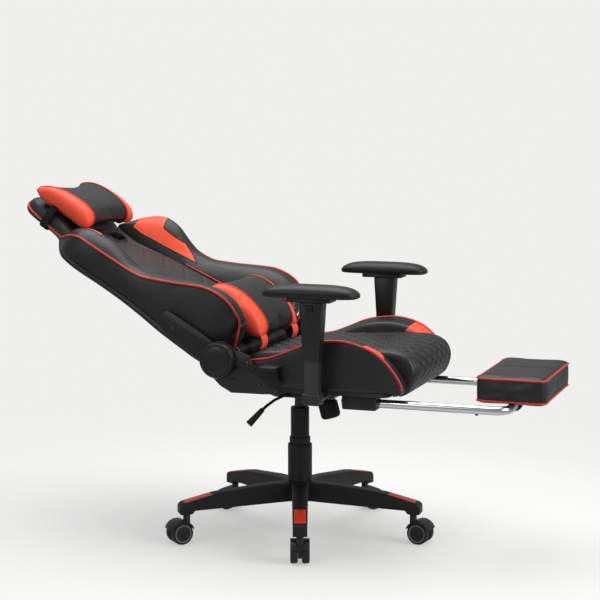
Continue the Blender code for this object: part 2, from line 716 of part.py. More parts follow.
def make_seat_soft(body):
    """Seat panel and the two side bolsters, over the seat frame."""
    base = SEAT_UNDERSIDE + SEAT_FRAME_THICKNESS + TOUCH_GAP
    nose = SEAT_FRAME_FRONT - 0.009
    panel = [
        (SEAT_REAR, base), (SEAT_REAR, 0.490), (SEAT_REAR - 0.018, 0.504), (0.045, 0.522),
        (-0.060, 0.530), (-0.170, 0.536),
        (-0.260, 0.539), (-0.312, 0.536), (-0.344, 0.519), (-0.361, 0.490), (-0.361, 0.455),
        (-0.345, 0.427), (nose, 0.421), (nose, base)]
    cushion = side_solid("seat_cushion", panel, (-SEAT_PANEL_HALF_WIDTH, SEAT_PANEL_HALF_WIDTH))
    body.add(finish(round_edges(cushion, 0.006, 2, 50), "leather"))
    side_line = [
        (SEAT_REAR, base), (SEAT_REAR, 0.484), (SEAT_REAR - 0.018, 0.497), (0.044, 0.514),
        (-0.011, 0.522), (-0.052, 0.537),
        (-0.092, 0.554), (-0.145, 0.568), (-0.198, 0.573), (-0.251, 0.562), (-0.290, 0.543),
        (-0.318, 0.516), (-0.342, 0.484), (-0.357, 0.458), (-0.348, 0.436), (nose, 0.434),
        (nose, base)]
    across = (SEAT_PANEL_HALF_WIDTH + TOUCH_GAP, SEAT_HALF_WIDTH)
    for word, side in SIDES.items():
        bolster = side_solid(f"seat_bolster_{word}", side_line, across, side)
        body.add(finish(round_edges(bolster, 0.008, 2, 50), "leather"))


# ================================================================ recliner
def make_lower_bracket(body, word, side):
    """Recliner side plate on the seat, with its pivot boss and mounting flange."""
    centre = (RECLINE_Y, RECLINE_Z)
    flange_low = SEAT_UNDERSIDE - TOUCH_GAP - 0.004
    outline = arc(centre, RECLINER_RADIUS, 150, -35, 12)
    outline += [
        (0.120, 0.444), (0.089, flange_low), (-0.026, flange_low + 0.002), (-0.038, 0.445),
        (-0.018, 0.461), (0.004, 0.472), (0.026, 0.498), (0.040, 0.524), (0.070, 0.536)]
    outer = BRACKET_INNER + BRACKET_THICKNESS
    plate = side_solid(f"recliner_lower_{word}", outline, (BRACKET_INNER, outer), side)
    flange = side_box("flange", side, (BRACKET_INNER - BRACKET_FLANGE, BRACKET_INNER + 0.002), (0.000, 0.058),
                      (flange_low, flange_low + 0.004))
    boss_end = outer + BRACKET_THICKNESS + RUNNING_GAP
    boss = rod("boss", (side * (outer - 0.002), *centre), (side * boss_end, *centre), BOSS_RADIUS, 20)
    lever_end = outer + BRACKET_THICKNESS
    lever_pin = rod("lever pin", (side * (outer - 0.002), *RECLINE_LEVER_HINGE),
                    (side * lever_end, *RECLINE_LEVER_HINGE), 0.005, 12)
    join(plate, flange, boss)
    if side == RIGHT:
        join(plate, lever_pin)
    else:
        bpy.data.objects.remove(lever_pin, do_unlink=True)
    body.add(finish(plate, "black steel"))


def make_recliner_cap(body, word, side):
    """Round plastic cap over the recliner gear."""
    inner = BRACKET_INNER + 2 * BRACKET_THICKNESS + 2 * RUNNING_GAP + TOUCH_GAP
    cap = turned(f"recliner_cap_{word}", [
        (0.0, CAP_DISC_THICKNESS), (RECLINER_RADIUS - 0.006, CAP_DISC_THICKNESS),
        (RECLINER_RADIUS - 0.001, CAP_DISC_THICKNESS - 0.004), (RECLINER_RADIUS, 0.0), (0.0, 0.0)], 32)
    turn = Matrix.Rotation(side * math.radians(90), 4, "Y")
    cap.data.transform(Matrix.Translation((side * inner, RECLINE_Y, RECLINE_Z)) @ turn)
    body.add(finish(cap, "nylon"))


def make_recline_lever(body):
    """Recline handle on the sitter's right: a plate arm and a paddle."""
    inner = BRACKET_INNER + BRACKET_THICKNESS + RUNNING_GAP
    outer = inner + 0.005
    outline = arc(RECLINE_LEVER_HINGE, 0.011, 60, -90, 6)
    outline += [
        (0.002, 0.473), (-0.026, 0.457), (-0.044, 0.449), (-0.050, 0.456), (-0.040, 0.474),
        (-0.040, 0.497), (-0.040, 0.505), (0.000, 0.503)]
    hole = arc(RECLINE_LEVER_HINGE, 0.005 + RUNNING_GAP, 0, 330, 11)
    arm = side_solid("recline_lever", outline, (inner, outer), RIGHT, [hole])
    paddle = side_box("paddle", RIGHT, (outer - 0.001, outer + PADDLE_WIDTH), (-0.052, -0.002),
                      (0.4965, 0.5065))
    round_edges(paddle, 0.003)
    body.add(finish(join(arm, paddle), "nylon"))


def make_upper_bracket(body, word, side):
    """Recliner arm on the backrest, in the backrest's frame."""
    inner = BRACKET_INNER + BRACKET_THICKNESS + RUNNING_GAP
    outer = inner + BRACKET_THICKNESS
    outline = arc((0, 0), RECLINER_RADIUS - 0.003, 40, 320, 14)
    outline += [
        (0.075, -0.032), (0.182, -0.020), (0.194, -0.010), (0.197, 0.006), (0.186, 0.022),
        (0.170, 0.026), (0.075, 0.031)]
    hole = arc((0, 0), BOSS_RADIUS + RUNNING_GAP, 0, 345, 23)
    plate = side_solid(f"recliner_upper_{word}", outline, (inner, outer), side, [hole])
    spacer = side_box("spacer", side, (SEAT_HALF_WIDTH + TOUCH_GAP, inner + 0.001),
                      (0.100, 0.180), (-0.016, 0.014))
    body.add(finish(join(plate, spacer), "black steel"))


# ================================================================ backrest
def back_outline():
    """Front view of the backrest: half widths up its height, mirrored."""
    wings = [
        (0.030, 0.012), (0.010, 0.030), (0.000, 0.060), (0.000, 0.185), (0.010, 0.250),
        (0.015, 0.320), (0.010, 0.390), (0.000, 0.450), (0.000, 0.490), (0.014, 0.530),
        (0.062, 0.565)]
    head = [
        (0.160, 0.592), (0.143, 0.630), (0.138, 0.690), (0.128, 0.722), (0.100, 0.745),
        (0.050, 0.754)]
    half = [(SEAT_HALF_WIDTH - inset, height) for inset, height in wings] + head
    return half + [(-x, y) for x, y in reversed(half)]


def back_prism(low, high):
    """The backrest's front outline as a solid, to trim other shapes with."""
    return outline_solid("back outline", back_outline(), low, high)


def harness_cutters():
    """The two harness openings near the shoulders."""
    cutters = []
    for side in (RIGHT, LEFT):
        centre = (side * HARNESS_HOLE_CENTRE[0], HARNESS_HOLE_CENTRE[1])
        hole = rounded_rectangle(
            centre, HARNESS_HOLE_SIZE[0] / 2, HARNESS_HOLE_SIZE[1] / 2, 0.012)
        cutters.append(outline_solid("harness hole", hole, SHELL_REAR - 0.02, 0.06))
    return cutters


def make_backrest(body):
    """Rear shell, centre cushion and the two side wings."""
    shell = outline_solid("back_shell", back_outline(), SHELL_REAR, SHELL_FRONT)
    body.add(finish(cut(shell, *harness_cutters()), "leather"))
    base = SHELL_FRONT + TOUCH_GAP
    panel = [
        (0.012, base), (0.012, 0.030), (0.028, 0.044), (0.100, 0.049), (0.200, 0.041),
        (0.290, 0.029), (0.380, 0.014), (0.455, -0.002), (0.500, -0.011), (0.560, -0.009),
        (0.605, 0.002), (0.660, 0.006), (0.715, 0.001), (0.742, -0.010), (0.754, base)]
    cushion = side_solid("back_cushion", panel, (-BACK_PANEL_HALF_WIDTH, BACK_PANEL_HALF_WIDTH))
    combine(cushion, back_prism(SHELL_REAR, 0.2), "INTERSECT")
    body.add(finish(cut(cushion, *harness_cutters()), "leather"))
    crest = [
        (0.012, base), (0.008, 0.065), (0.022, 0.106), (0.045, 0.126), (0.085, 0.135),
        (0.130, 0.129), (0.173, 0.111), (0.222, 0.083), (0.270, 0.060), (0.320, 0.048),
        (0.360, 0.051), (0.405, 0.063), (0.455, 0.074), (0.490, 0.069), (0.525, 0.044),
        (0.560, 0.008), (0.590, base)]
    across = (BACK_PANEL_HALF_WIDTH + TOUCH_GAP, SEAT_HALF_WIDTH + 0.01)
    for word, side in SIDES.items():
        wing = side_solid(f"back_wing_{word}", crest, across, side)
        combine(wing, back_prism(SHELL_REAR, 0.2), "INTERSECT")
        body.add(finish(wing, "leather"))


def make_head_pillow(body):
    """Neck pillow on the head part of the backrest."""
    outline = [
        (0.556, 0.009), (0.700, 0.009), (0.728, 0.014), (0.735, 0.024), (0.722, 0.038),
        (0.690, 0.056), (0.650, 0.066), (0.600, 0.068), (0.560, 0.060), (0.539, 0.040),
        (0.540, 0.020)]
    half = HEAD_PILLOW_HALF_LENGTH
    pillow = side_solid("head_pillow", outline, (-half, half))
    body.add(finish(round_edges(pillow, 0.008, 2, 50), "leather"))


def make_lumbar_pillow(body):
    """Lumbar pillow at the foot of the backrest."""
    outline = [
        (0.000, 0.0515), (0.100, 0.0515), (0.150, 0.060), (0.165, 0.084), (0.152, 0.114),
        (0.112, 0.129), (0.055, 0.129), (0.005, 0.119), (-0.018, 0.096), (-0.018, 0.064)]
    half = LUMBAR_PILLOW_HALF_LENGTH
    pillow = side_solid("lumbar_pillow", outline, (-half, half))
    body.add(finish(round_edges(pillow, 0.008, 2, 50), "leather"))


# ================================================================ arms
def make_arm_bracket(body, word, side):
    """Arm bar under the seat and the fixed post that the sleeve slides on."""
    top = SEAT_UNDERSIDE - TOUCH_GAP
    rear, front = ARM_Y + POST_HALF_Y, ARM_Y - POST_HALF_Y
    bar = side_box(f"arm_bracket_{word}", side, (ARM_BAR_INNER, ARM_X), (front, rear),
                   (top - ARM_BAR_THICKNESS, top))
    post = side_box("post", side, (ARM_X - POST_HALF_X, ARM_X + POST_HALF_X), (front, rear),
                    (top - ARM_BAR_THICKNESS - 0.004, POST_TOP))
    foot = side_box("foot", side, (ARM_X - POST_HALF_X - 0.004, ARM_X + POST_HALF_X + 0.004),
                    (front - 0.005, rear + 0.005), (0.4185, 0.448))
    round_edges(foot, 0.003)
    body.add(finish(join(bar, post, foot), "nylon"))


def sleeve_half_sizes(height):
    """Half sizes of the tapered sleeve across X and Y at a height."""
    share = (height - SLEEVE_BOTTOM) / (SLEEVE_TOP - SLEEVE_BOTTOM)
    wall = SLEEVE_WALL + RUNNING_GAP
    return (POST_HALF_X + wall + SLEEVE_FLARE_X * share,
            POST_HALF_Y + wall + SLEEVE_FLARE_Y * share)


def make_arm_sleeve(body, word, side):
    """Tapered sleeve with the pad flange, hollow round the post."""
    sleeve = side_box(f"arm_sleeve_{word}", side, (ARM_X - 1, ARM_X + 1), (ARM_Y - 1, ARM_Y + 1),
                      (SLEEVE_BOTTOM, SLEEVE_TOP + 0.001))
    for vertex in sleeve.data.vertices:
        half_x, half_y = sleeve_half_sizes(min(vertex.co.z, SLEEVE_TOP))
        vertex.co.x = side * ARM_X + math.copysign(half_x, vertex.co.x - side * ARM_X)
        vertex.co.y = ARM_Y + math.copysign(half_y, vertex.co.y - ARM_Y)
    round_edges(sleeve, 0.005)
    flange = side_box("flange", side, (ARM_X - FLANGE_HALF_X, ARM_X + FLANGE_HALF_X),
                      (ARM_PAD_CENTRE_Y - FLANGE_LENGTH / 2, ARM_PAD_CENTRE_Y + FLANGE_LENGTH / 2),
                      (SLEEVE_TOP, SLEEVE_TOP + FLANGE_THICKNESS))
    room_x = POST_HALF_X + RUNNING_GAP
    room_y = POST_HALF_Y + RUNNING_GAP
    hollow = side_box("post room", side, (ARM_X - room_x, ARM_X + room_x),
                      (ARM_Y - room_y, ARM_Y + room_y), (SLEEVE_BOTTOM - 0.01, SLEEVE_TOP - 0.006))
    window = button_block("button window", side, 0.02, RUNNING_GAP)
    join(sleeve, flange)
    body.add(finish(cut(sleeve, hollow, window), "nylon"))


def button_block(name, side, outward, margin):
    """Height button, or with a margin the window that it moves in."""
    inner = ARM_X + POST_HALF_X + RUNNING_GAP + 0.0004
    half_y = BUTTON_HALF_Y + margin
    half_z = BUTTON_HALF_Z + margin
    return side_box(name, side, (inner - 8 * margin, inner + outward),
                    (ARM_Y - half_y, ARM_Y + half_y), (BUTTON_Z - half_z, BUTTON_Z + half_z))


def make_arm_button(body, word, side):
    """Button that frees the arm's height."""
    outward = sleeve_half_sizes(BUTTON_Z)[0] + BUTTON_TRAVEL - POST_HALF_X
    button = button_block(f"arm_button_{word}", side, outward, 0.0)
    body.add(finish(round_edges(button, 0.001, 1), "nylon"))


def make_arm_pad(body, word, side):
    """Crowned arm pad."""
    bottom = SLEEVE_TOP + FLANGE_THICKNESS + TOUCH_GAP
    half = ARM_PAD_LENGTH / 2
    outline = [
        (-half + 0.034, bottom), (half - 0.034, bottom), (half - 0.006, bottom + 0.006),
        (half, bottom + 0.013), (half - 0.008, bottom + 0.020), (half - 0.050, bottom + 0.029),
        (0.0, bottom + 0.033), (-half + 0.050, bottom + 0.029), (-half + 0.008, bottom + 0.018),
        (-half, bottom + 0.010), (-half + 0.006, bottom + 0.003)]
    outline = [(y + ARM_PAD_CENTRE_Y, z) for y, z in outline]
    across = (ARM_X - ARM_PAD_HALF_WIDTH, ARM_X + ARM_PAD_HALF_WIDTH)
    pad = side_solid(f"arm_pad_{word}", outline, across, side)
    body.add(finish(round_edges(pad, 0.006, 2, 45), "foam plastic"))


# ================================================================ footrest
def make_guide(body, word, side):
    """Block under the seat that one rail slides through."""
    guide = side_box(f"footrest_guide_{word}", side, (GUIDE_INNER, GUIDE_OUTER),
                     (GUIDE_FRONT, GUIDE_REAR), (GUIDE_BOTTOM, SEAT_UNDERSIDE - TOUCH_GAP))
    round_edges(guide, 0.003, 1)
    bore = rod("rail bore", (side * RAIL_X, GUIDE_FRONT - 0.01, RAIL_Z),
               (side * RAIL_X, GUIDE_REAR + 0.01, RAIL_Z), RAIL_RADIUS + RUNNING_GAP, 24)
    body.add(finish(cut(guide, bore), "nylon"))


def make_footrest_frame(body):
    """Chromed U of tube: two rails and the crossbar."""
    corner = RAIL_X - RAIL_BEND
    bend_y = CROSSBAR_Y + RAIL_BEND
    right_bend = arc((-corner, bend_y), RAIL_BEND, 180, 270, 6)
    left_bend = arc((corner, bend_y), RAIL_BEND, 270, 360, 6)
    route = [(-RAIL_X, RAIL_REAR), *right_bend, *left_bend, (RAIL_X, RAIL_REAR)]
    body.add(finish(tube("footrest_frame", [(x, y, RAIL_Z) for x, y in route], RAIL_RADIUS, 4),
                    "chrome"))


def make_footrest_pad(body):
    """Foot pad with two lugs that turn on the crossbar."""
    low = RAIL_Z + RAIL_RADIUS + 0.0012
    front = CROSSBAR_Y - FOOT_PAD_LENGTH / 2
    pad = box("footrest_pad", (-FOOT_PAD_HALF_WIDTH, front, low),
              (FOOT_PAD_HALF_WIDTH, front + FOOT_PAD_LENGTH, low + FOOT_PAD_THICKNESS))
    round_edges(pad, 0.008, 2)
    lug_half = RAIL_RADIUS + RUNNING_GAP + LUG_WALL
    lugs = [
        box("lug", (x - LUG_WIDTH / 2, CROSSBAR_Y - lug_half, RAIL_Z - lug_half),
            (x + LUG_WIDTH / 2, CROSSBAR_Y + lug_half, low + 0.004))
        for x in (-LUG_X, LUG_X)]
    bores = [
        rod("lug bore", (x - LUG_WIDTH, CROSSBAR_Y, RAIL_Z), (x + LUG_WIDTH, CROSSBAR_Y, RAIL_Z),
            RAIL_RADIUS + RUNNING_GAP, 24)
        for x in (-LUG_X, LUG_X)]
    join(pad, *lugs)
    body.add(finish(cut(pad, *bores), "leather"))


# ================================================================ assembly
def footprint_middle():
    """Middle of the chair's length, between the foot pad and the top of the backrest."""
    angle = math.radians(BACK_ANGLE)
    top = max(height for half_width, height in back_outline())
    rearmost = RECLINE_Y + top * math.cos(angle) - SHELL_REAR * math.sin(angle)
    foremost = CROSSBAR_Y - FOOT_PAD_LENGTH / 2
    return (rearmost + foremost) / 2


def build_chair():
    """Make every body and piece of the chair."""
    root = Body("chair_origin", None, (0.0, 0.0, 0.0))
    root.empty.location = (0.0, -footprint_middle(), 0.0)
    base = Body("base", root, (0.0, 0.0, 0.0))
    make_base(base)
    make_casters(base)
    cover_body = Body("middle_cover", base, (0.0, 0.0, COVER_MIDDLE_BOTTOM))
    lift = Body("lift", base, (0.0, 0.0, COVER_UPPER_TOP))
    make_column(base, cover_body, lift)

    mechanism = Body("mechanism", lift, (0.0, 0.0, HOUSING_BOTTOM))
    make_housing(mechanism)
    make_spring(mechanism)
    make_knob(Body("knob", mechanism, KNOB_FOOT, (-KNOB_LEAN, 0, 0), own_frame=True))
    make_height_lever(Body("height_lever_hinge", mechanism, LEVER_HINGE))

    seat = Body("seat", mechanism, (0.0, ROCK_PIVOT_Y, ROCK_PIVOT_Z))
    make_seat_plate(seat)
    make_seat_frame(seat)
    make_seat_soft(seat)
    back = Body("back", seat, (0.0, RECLINE_Y, RECLINE_Z), (BACK_ANGLE, 0, 0), own_frame=True)
    make_backrest(back)
    make_head_pillow(back)
    make_lumbar_pillow(back)
    make_recline_lever(Body("recline_lever_hinge", seat, (0.0, *RECLINE_LEVER_HINGE)))
    for word, side in SIDES.items():
        make_lower_bracket(seat, word, side)
        make_recliner_cap(seat, word, side)
        make_upper_bracket(back, word, side)
        make_arm_bracket(seat, word, side)
        arm = Body(f"arm_{word}", seat, (side * ARM_X, ARM_Y, SLEEVE_BOTTOM))
        make_arm_sleeve(arm, word, side)
        make_arm_pad(arm, word, side)
        make_arm_button(arm, word, side)
        make_guide(seat, word, side)

    footrest = Body("footrest", seat, (0.0, CROSSBAR_Y, RAIL_Z))
    make_footrest_frame(footrest)
    make_footrest_pad(footrest)


clear_scene()
PARTS = new_collection("gaming_chair")
CUTTERS = new_collection("cutters")
MATERIALS = {name: make_finish(name) for name in FINISHES}
build_chair()
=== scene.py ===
"""Looks of the reclining gaming chair: upholstery, piping, mouldings, steel and chrome.

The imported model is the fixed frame. Soft pieces are built in the backrest's own
frame or in side view, and then placed in the row frame; hard pieces are finer
copies of the frame's nodes, or turned again at a finer step. All lengths are metres.
"""

import json
import logging
import math
from collections.abc import Callable, Sequence
from dataclasses import dataclass
from enum import Enum

import bmesh
import bpy
import numpy as np
from mathutils import Matrix, Vector
from mathutils.bvhtree import BVHTree


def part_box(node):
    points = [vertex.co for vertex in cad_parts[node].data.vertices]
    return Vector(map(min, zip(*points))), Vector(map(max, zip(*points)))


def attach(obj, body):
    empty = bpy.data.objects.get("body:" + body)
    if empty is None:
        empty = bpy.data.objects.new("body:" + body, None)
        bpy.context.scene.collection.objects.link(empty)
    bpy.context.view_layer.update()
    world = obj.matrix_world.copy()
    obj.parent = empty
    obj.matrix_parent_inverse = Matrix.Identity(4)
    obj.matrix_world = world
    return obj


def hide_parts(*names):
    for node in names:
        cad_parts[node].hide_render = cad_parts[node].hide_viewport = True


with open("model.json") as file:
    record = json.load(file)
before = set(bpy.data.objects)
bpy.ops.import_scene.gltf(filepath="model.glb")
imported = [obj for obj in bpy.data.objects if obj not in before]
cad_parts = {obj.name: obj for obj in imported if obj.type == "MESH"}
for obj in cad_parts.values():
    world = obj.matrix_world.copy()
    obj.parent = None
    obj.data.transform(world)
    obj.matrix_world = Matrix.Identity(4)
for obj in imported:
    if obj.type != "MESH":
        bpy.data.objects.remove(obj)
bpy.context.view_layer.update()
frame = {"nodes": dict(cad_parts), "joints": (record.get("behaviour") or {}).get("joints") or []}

LOG = logging.getLogger("gaming_chair")

Piece = bpy.types.Object
Colour = tuple[float, float, float]
Flat = Sequence[tuple[float, float]]

LEG_COUNT = 5
BACK_ANGLE = math.radians(33.0)
FULL_TURN = 2 * math.pi
DOWN = Vector((0, 0, -1))
# How far a row of threads, or a round cord, stands off the skin it lies on.
THREAD_LIFT = 0.0001
CORD_LIFT = 0.0012
# How long and how hard soft pieces are blown up.
CLOTH_FRAMES = 20
CLOTH_PRESSURE = 4.0
RIGHT = -1
LEFT = 1
SIDES = {"right": RIGHT, "left": LEFT}


def joint_point(name: str) -> Vector:
    """Where a joint of the frame lies, in the row frame."""
    return Vector(next(j["pos_m"] for j in frame["joints"] if j["name"] == name))


COLUMN_Y = sum(corner.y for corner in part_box("lift_piston")) / 2
PIVOT = joint_point("recline")
# The backrest's own frame: across, up along the back, forward of it.
BACK_FRAME = Matrix.Translation(PIVOT) @ Matrix.Rotation(BACK_ANGLE, 4, "X")
# Turn a side view into the row frame, drawn out along X: of the whole chair, and of the back.
SIDEWAYS = Matrix(((0, 0, 1, 0), (1, 0, 0, 0), (0, 1, 0, 0), (0, 0, 0, 1)))
SIDE_FRAME = Matrix.Translation((0, COLUMN_Y, 0)) @ SIDEWAYS
BACK_SIDE = BACK_FRAME @ SIDEWAYS


# ======== node graphs
class Signal:
    """An output socket that takes part in arithmetic; each operator adds a Math node."""

    def __init__(self, graph: "Graph", socket: bpy.types.NodeSocket) -> None:
        """Wrap one socket of a graph."""
        self.graph = graph
        self.socket = socket

    def _math(self, operation: str, *values: "Signal | float") -> "Signal":
        """Add one Math node."""
        return self.graph.add("ShaderNodeMath", {"operation": operation}, dict(enumerate(values)))

    def __add__(self, other: "Signal | float") -> "Signal":
        """Sum."""
        return self._math("ADD", self, other)

    __radd__ = __add__

    def __mul__(self, other: "Signal | float") -> "Signal":
        """Product."""
        return self._math("MULTIPLY", self, other)

    __rmul__ = __mul__

    def __rsub__(self, other: "Signal | float") -> "Signal":
        """Difference from a number."""
        return self._math("SUBTRACT", other, self)

    def __truediv__(self, other: "Signal | float") -> "Signal":
        """Quotient."""
        return self._math("DIVIDE", self, other)

    def __gt__(self, other: "Signal | float") -> "Signal":
        """One where this is greater."""
        return self._math("GREATER_THAN", self, other)

    def clamped(self, low: float = 0.0, high: float = 1.0) -> "Signal":
        """Limit to a range."""
        return self.graph.add("ShaderNodeClamp", {}, {0: self, 1: low, 2: high})


class Graph:
    """A node tree with one way to add a node."""

    def __init__(self, tree: bpy.types.NodeTree) -> None:
        """Wrap a tree."""
        self.tree = tree

    def add(self, kind: str, settings: dict | None = None, values: dict | None = None,
            output: int | str = 0) -> Signal:
        """Add a node.

        Args:
            kind: The node's type.
            settings: The node's own properties, set first.
            values: Values or signals for its sockets, by name or by index.
            output: Which output to return.

        Returns:
            The chosen output.
        """
        node = self.tree.nodes.new(kind)
        for key, value in (settings or {}).items():
            setattr(node, key, value)
        for key, value in (values or {}).items():
            if isinstance(value, Signal):
                self.tree.links.new(value.socket, node.inputs[key])
            else:
                node.inputs[key].default_value = value
        return Signal(self, node.outputs[output])


class Surface(Graph):
    """The shader graph of one material."""

    def __init__(self, name: str) -> None:
        """Make an empty material."""
        self.material = bpy.data.materials.new(name)
        self.material.use_nodes = True
        super().__init__(self.material.node_tree)
        self.tree.nodes.clear()
        self.place = self.add("ShaderNodeTexCoord", output="Object")

    def noise(self, scale: float, detail: float = 3.0, roughness: float = 0.5) -> Signal:
        """Cloudy pattern, with so many features in a metre."""
        return self.add("ShaderNodeTexNoise", {}, {
            "Vector": self.place, "Scale": scale, "Detail": detail, "Roughness": roughness})

    def cells(self, scale: float, feature: str = "F1") -> Signal:
        """Cell pattern, with so many cells in a metre."""
        return self.add("ShaderNodeTexVoronoi", {"feature": feature}, {
            "Vector": self.place, "Scale": scale}, "Distance")

    def blend(self, low: Colour, high: Colour, share: Signal) -> Signal:
        """Mix two colours by a share."""
        return self.add("ShaderNodeMix", {"data_type": "RGBA"}, {
            0: share, 6: (*low, 1.0), 7: (*high, 1.0)}, 2)

    def finish(self, colour: "Signal | Colour", roughness: "Signal | float", height: Signal | None,
               depth: float, fixed: dict) -> bpy.types.Material:
        """Close the graph with a Principled shader.

        Args:
            colour: Base colour.
            roughness: Surface roughness.
            height: Pattern for the bump, if any.
            depth: How deep the bump is.
            fixed: Other values of the shader, the same all over.

        Returns:
            The finished material.
        """
        values = {"Base Color": colour if isinstance(colour, Signal) else (*colour, 1.0),
                  "Roughness": roughness, **fixed}
        if height is not None:
            values["Normal"] = self.add("ShaderNodeBump", {}, {
                "Height": height, "Distance": depth, "Strength": 1.0}, "Normal")
        shader = self.add("ShaderNodeBsdfPrincipled", {}, values)
        end = self.tree.nodes.new("ShaderNodeOutputMaterial")
        self.tree.links.new(shader.socket, end.inputs["Surface"])
        return self.material


# ======== finishes
class Slot(Enum):
    """The record's material slots, one named for each piece."""

    NYLON = "nylon"
    WHEEL = "wheel"
    RED_PLASTIC = "red_plastic"
    STEEL = "black_steel"
    LEATHER = "leather"
    RED_LEATHER = "red_leather"
    FOAM = "arm_foam"
    CHROME = "chrome"


@dataclass(frozen=True)
class Leather:
    """Synthetic leather: fine pebbled grain, soft creases and a little uneven sheen."""

    name: str
    colour: Colour
    worn: Colour
    roughness: float = 0.42
    grain: float = 620.0
    grain_depth: float = 0.00022
    crease: float = 34.0
    crease_depth: float = 3.2
    specular: float = 0.42

    def make(self) -> bpy.types.Material:
        """Build the material."""
        surface = Surface(self.name)
        pebble = surface.cells(self.grain, "SMOOTH_F1")
        creases = surface.noise(self.crease, 4.0, 0.55)
        patches = surface.noise(9.0, 2.0)
        tone = surface.blend(self.colour, self.worn, (patches * 0.55 + pebble * 0.35).clamped())
        height = pebble + creases * self.crease_depth
        sheen = patches * 0.14 + pebble * 0.10 + (self.roughness - 0.11)
        return surface.finish(tone, sheen, height, self.grain_depth,
                              {"Specular IOR Level": self.specular})


@dataclass(frozen=True)
class Moulding:
    """Moulded plastic: spark texture, slight flow marks and rubbed spots."""

    name: str
    colour: Colour
    rubbed: Colour
    roughness: float = 0.45
    texture: float = 900.0
    depth: float = 0.00008
    specular: float = 0.4
    coat: float = 0.0

    def make(self) -> bpy.types.Material:
        """Build the material."""
        surface = Surface(self.name)
        spark = surface.noise(self.texture, 2.0, 0.6)
        flow = surface.noise(14.0, 3.0)
        rub = (surface.noise(55.0, 5.0, 0.7) > 0.66) * 0.35
        tone = surface.blend(self.colour, self.rubbed, (flow * 0.4 + rub).clamped())
        gloss = flow * 0.12 + (self.roughness - 0.06)
        return surface.finish(tone, gloss, spark, self.depth, {
            "Specular IOR Level": self.specular, "Coat Weight": self.coat, "Coat Roughness": 0.2})


@dataclass(frozen=True)
class Metal:
    """Painted or bright metal, with orange peel or polishing marks."""

    name: str
    colour: Colour
    dusty: Colour
    roughness: float
    metallic: float
    peel: float = 260.0
    depth: float = 0.00005

    def make(self) -> bpy.types.Material:
        """Build the material."""
        surface = Surface(self.name)
        peel = surface.noise(self.peel, 2.0)
        smudge = surface.noise(24.0, 4.0, 0.6)
        tone = surface.blend(self.colour, self.dusty, smudge)
        gloss = smudge * 0.10 + (self.roughness - 0.04)
        return surface.finish(tone, gloss, peel, self.depth, {"Metallic": self.metallic})


@dataclass(frozen=True)
class Webbing:
    """Woven strap or thread: crossed ribs across the band."""

    name: str
    colour: Colour
    ridge: Colour
    ribs_per_metre: float
    depth: float = 0.0003
    specular: float = 0.2

    def make(self) -> bpy.types.Material:
        """Build the material."""
        surface = Surface(self.name)
        waves = [surface.add("ShaderNodeTexWave", {"bands_direction": axis}, {
            "Vector": surface.place, "Scale": self.ribs_per_metre / 20, "Distortion": 0.4}, "Fac")
            for axis in ("X", "Z")]
        weave = waves[0] * waves[1]
        tone = surface.blend(self.colour, self.ridge, weave)
        return surface.finish(tone, 0.85 - weave * 0.15, weave, self.depth, {
            "Specular IOR Level": self.specular})


BLACK = (0.0070, 0.0070, 0.0078)
SOFT_BLACK = (0.014, 0.014, 0.0150)
RED = (0.84, 0.078, 0.034)
FINISHES: dict[str, Leather | Moulding | Metal | Webbing] = {
    "leather": Leather("black leather", (0.0074, 0.0074, 0.0080), (0.015, 0.015, 0.0158)),
    "panel": Leather("charcoal leather", (0.0105, 0.0105, 0.0108), (0.019, 0.019, 0.0192), 0.48,
                     560.0),
    "red_leather": Leather("red leather", RED, (0.88, 0.102, 0.050), 0.46, specular=0.3),
    "piping": Leather("red piping", (0.44, 0.022, 0.014), (0.55, 0.040, 0.026), 0.40, 900.0),
    "nylon": Moulding("black nylon", BLACK, SOFT_BLACK, 0.46, specular=0.26),
    "cap": Moulding("smooth black plastic", BLACK, SOFT_BLACK, 0.36, 500.0, 0.00004),
    "foam": Moulding("soft black polyurethane", (0.0085, 0.0085, 0.0088), (0.016, 0.016, 0.0165),
                     0.42, 420.0, 0.00016, 0.3),
    "red_plastic": Moulding("red plastic", (0.60, 0.028, 0.010), (0.68, 0.050, 0.018), 0.32, 500.0,
                            0.00005, 0.5, 0.3),
    "rubber": Moulding("tyre", (0.010, 0.010, 0.0105), (0.030, 0.030, 0.030), 0.6, 260.0, 0.0001,
                       0.3),
    "grey_line": Moulding("grey wheel ring", (0.20, 0.20, 0.20), (0.34, 0.34, 0.34), 0.45),
    "steel": Metal("black powder coat", (0.0075, 0.0075, 0.0080), (0.015, 0.015, 0.0155), 0.44,
                   0.0, 320.0, 0.00012),
    "zinc": Metal("blackened screw", (0.045, 0.045, 0.048), (0.10, 0.10, 0.10), 0.32, 0.9),
    "chrome": Metal("chromed tube", (0.72, 0.72, 0.74), (0.60, 0.60, 0.62), 0.10, 1.0, 120.0,
                    0.00002),
    "board": Moulding("stained board", (0.020, 0.019, 0.018), (0.045, 0.040, 0.035), 0.7, 120.0,
                      0.0003),
    "webbing": Webbing("elastic strap", (0.007, 0.007, 0.0075), (0.013, 0.013, 0.0135), 1500.0),
    "thread": Webbing("black thread", (0.009, 0.009, 0.0095), (0.020, 0.020, 0.0205), 2400.0),
}
MATERIALS: dict[str, bpy.types.Material] = {}


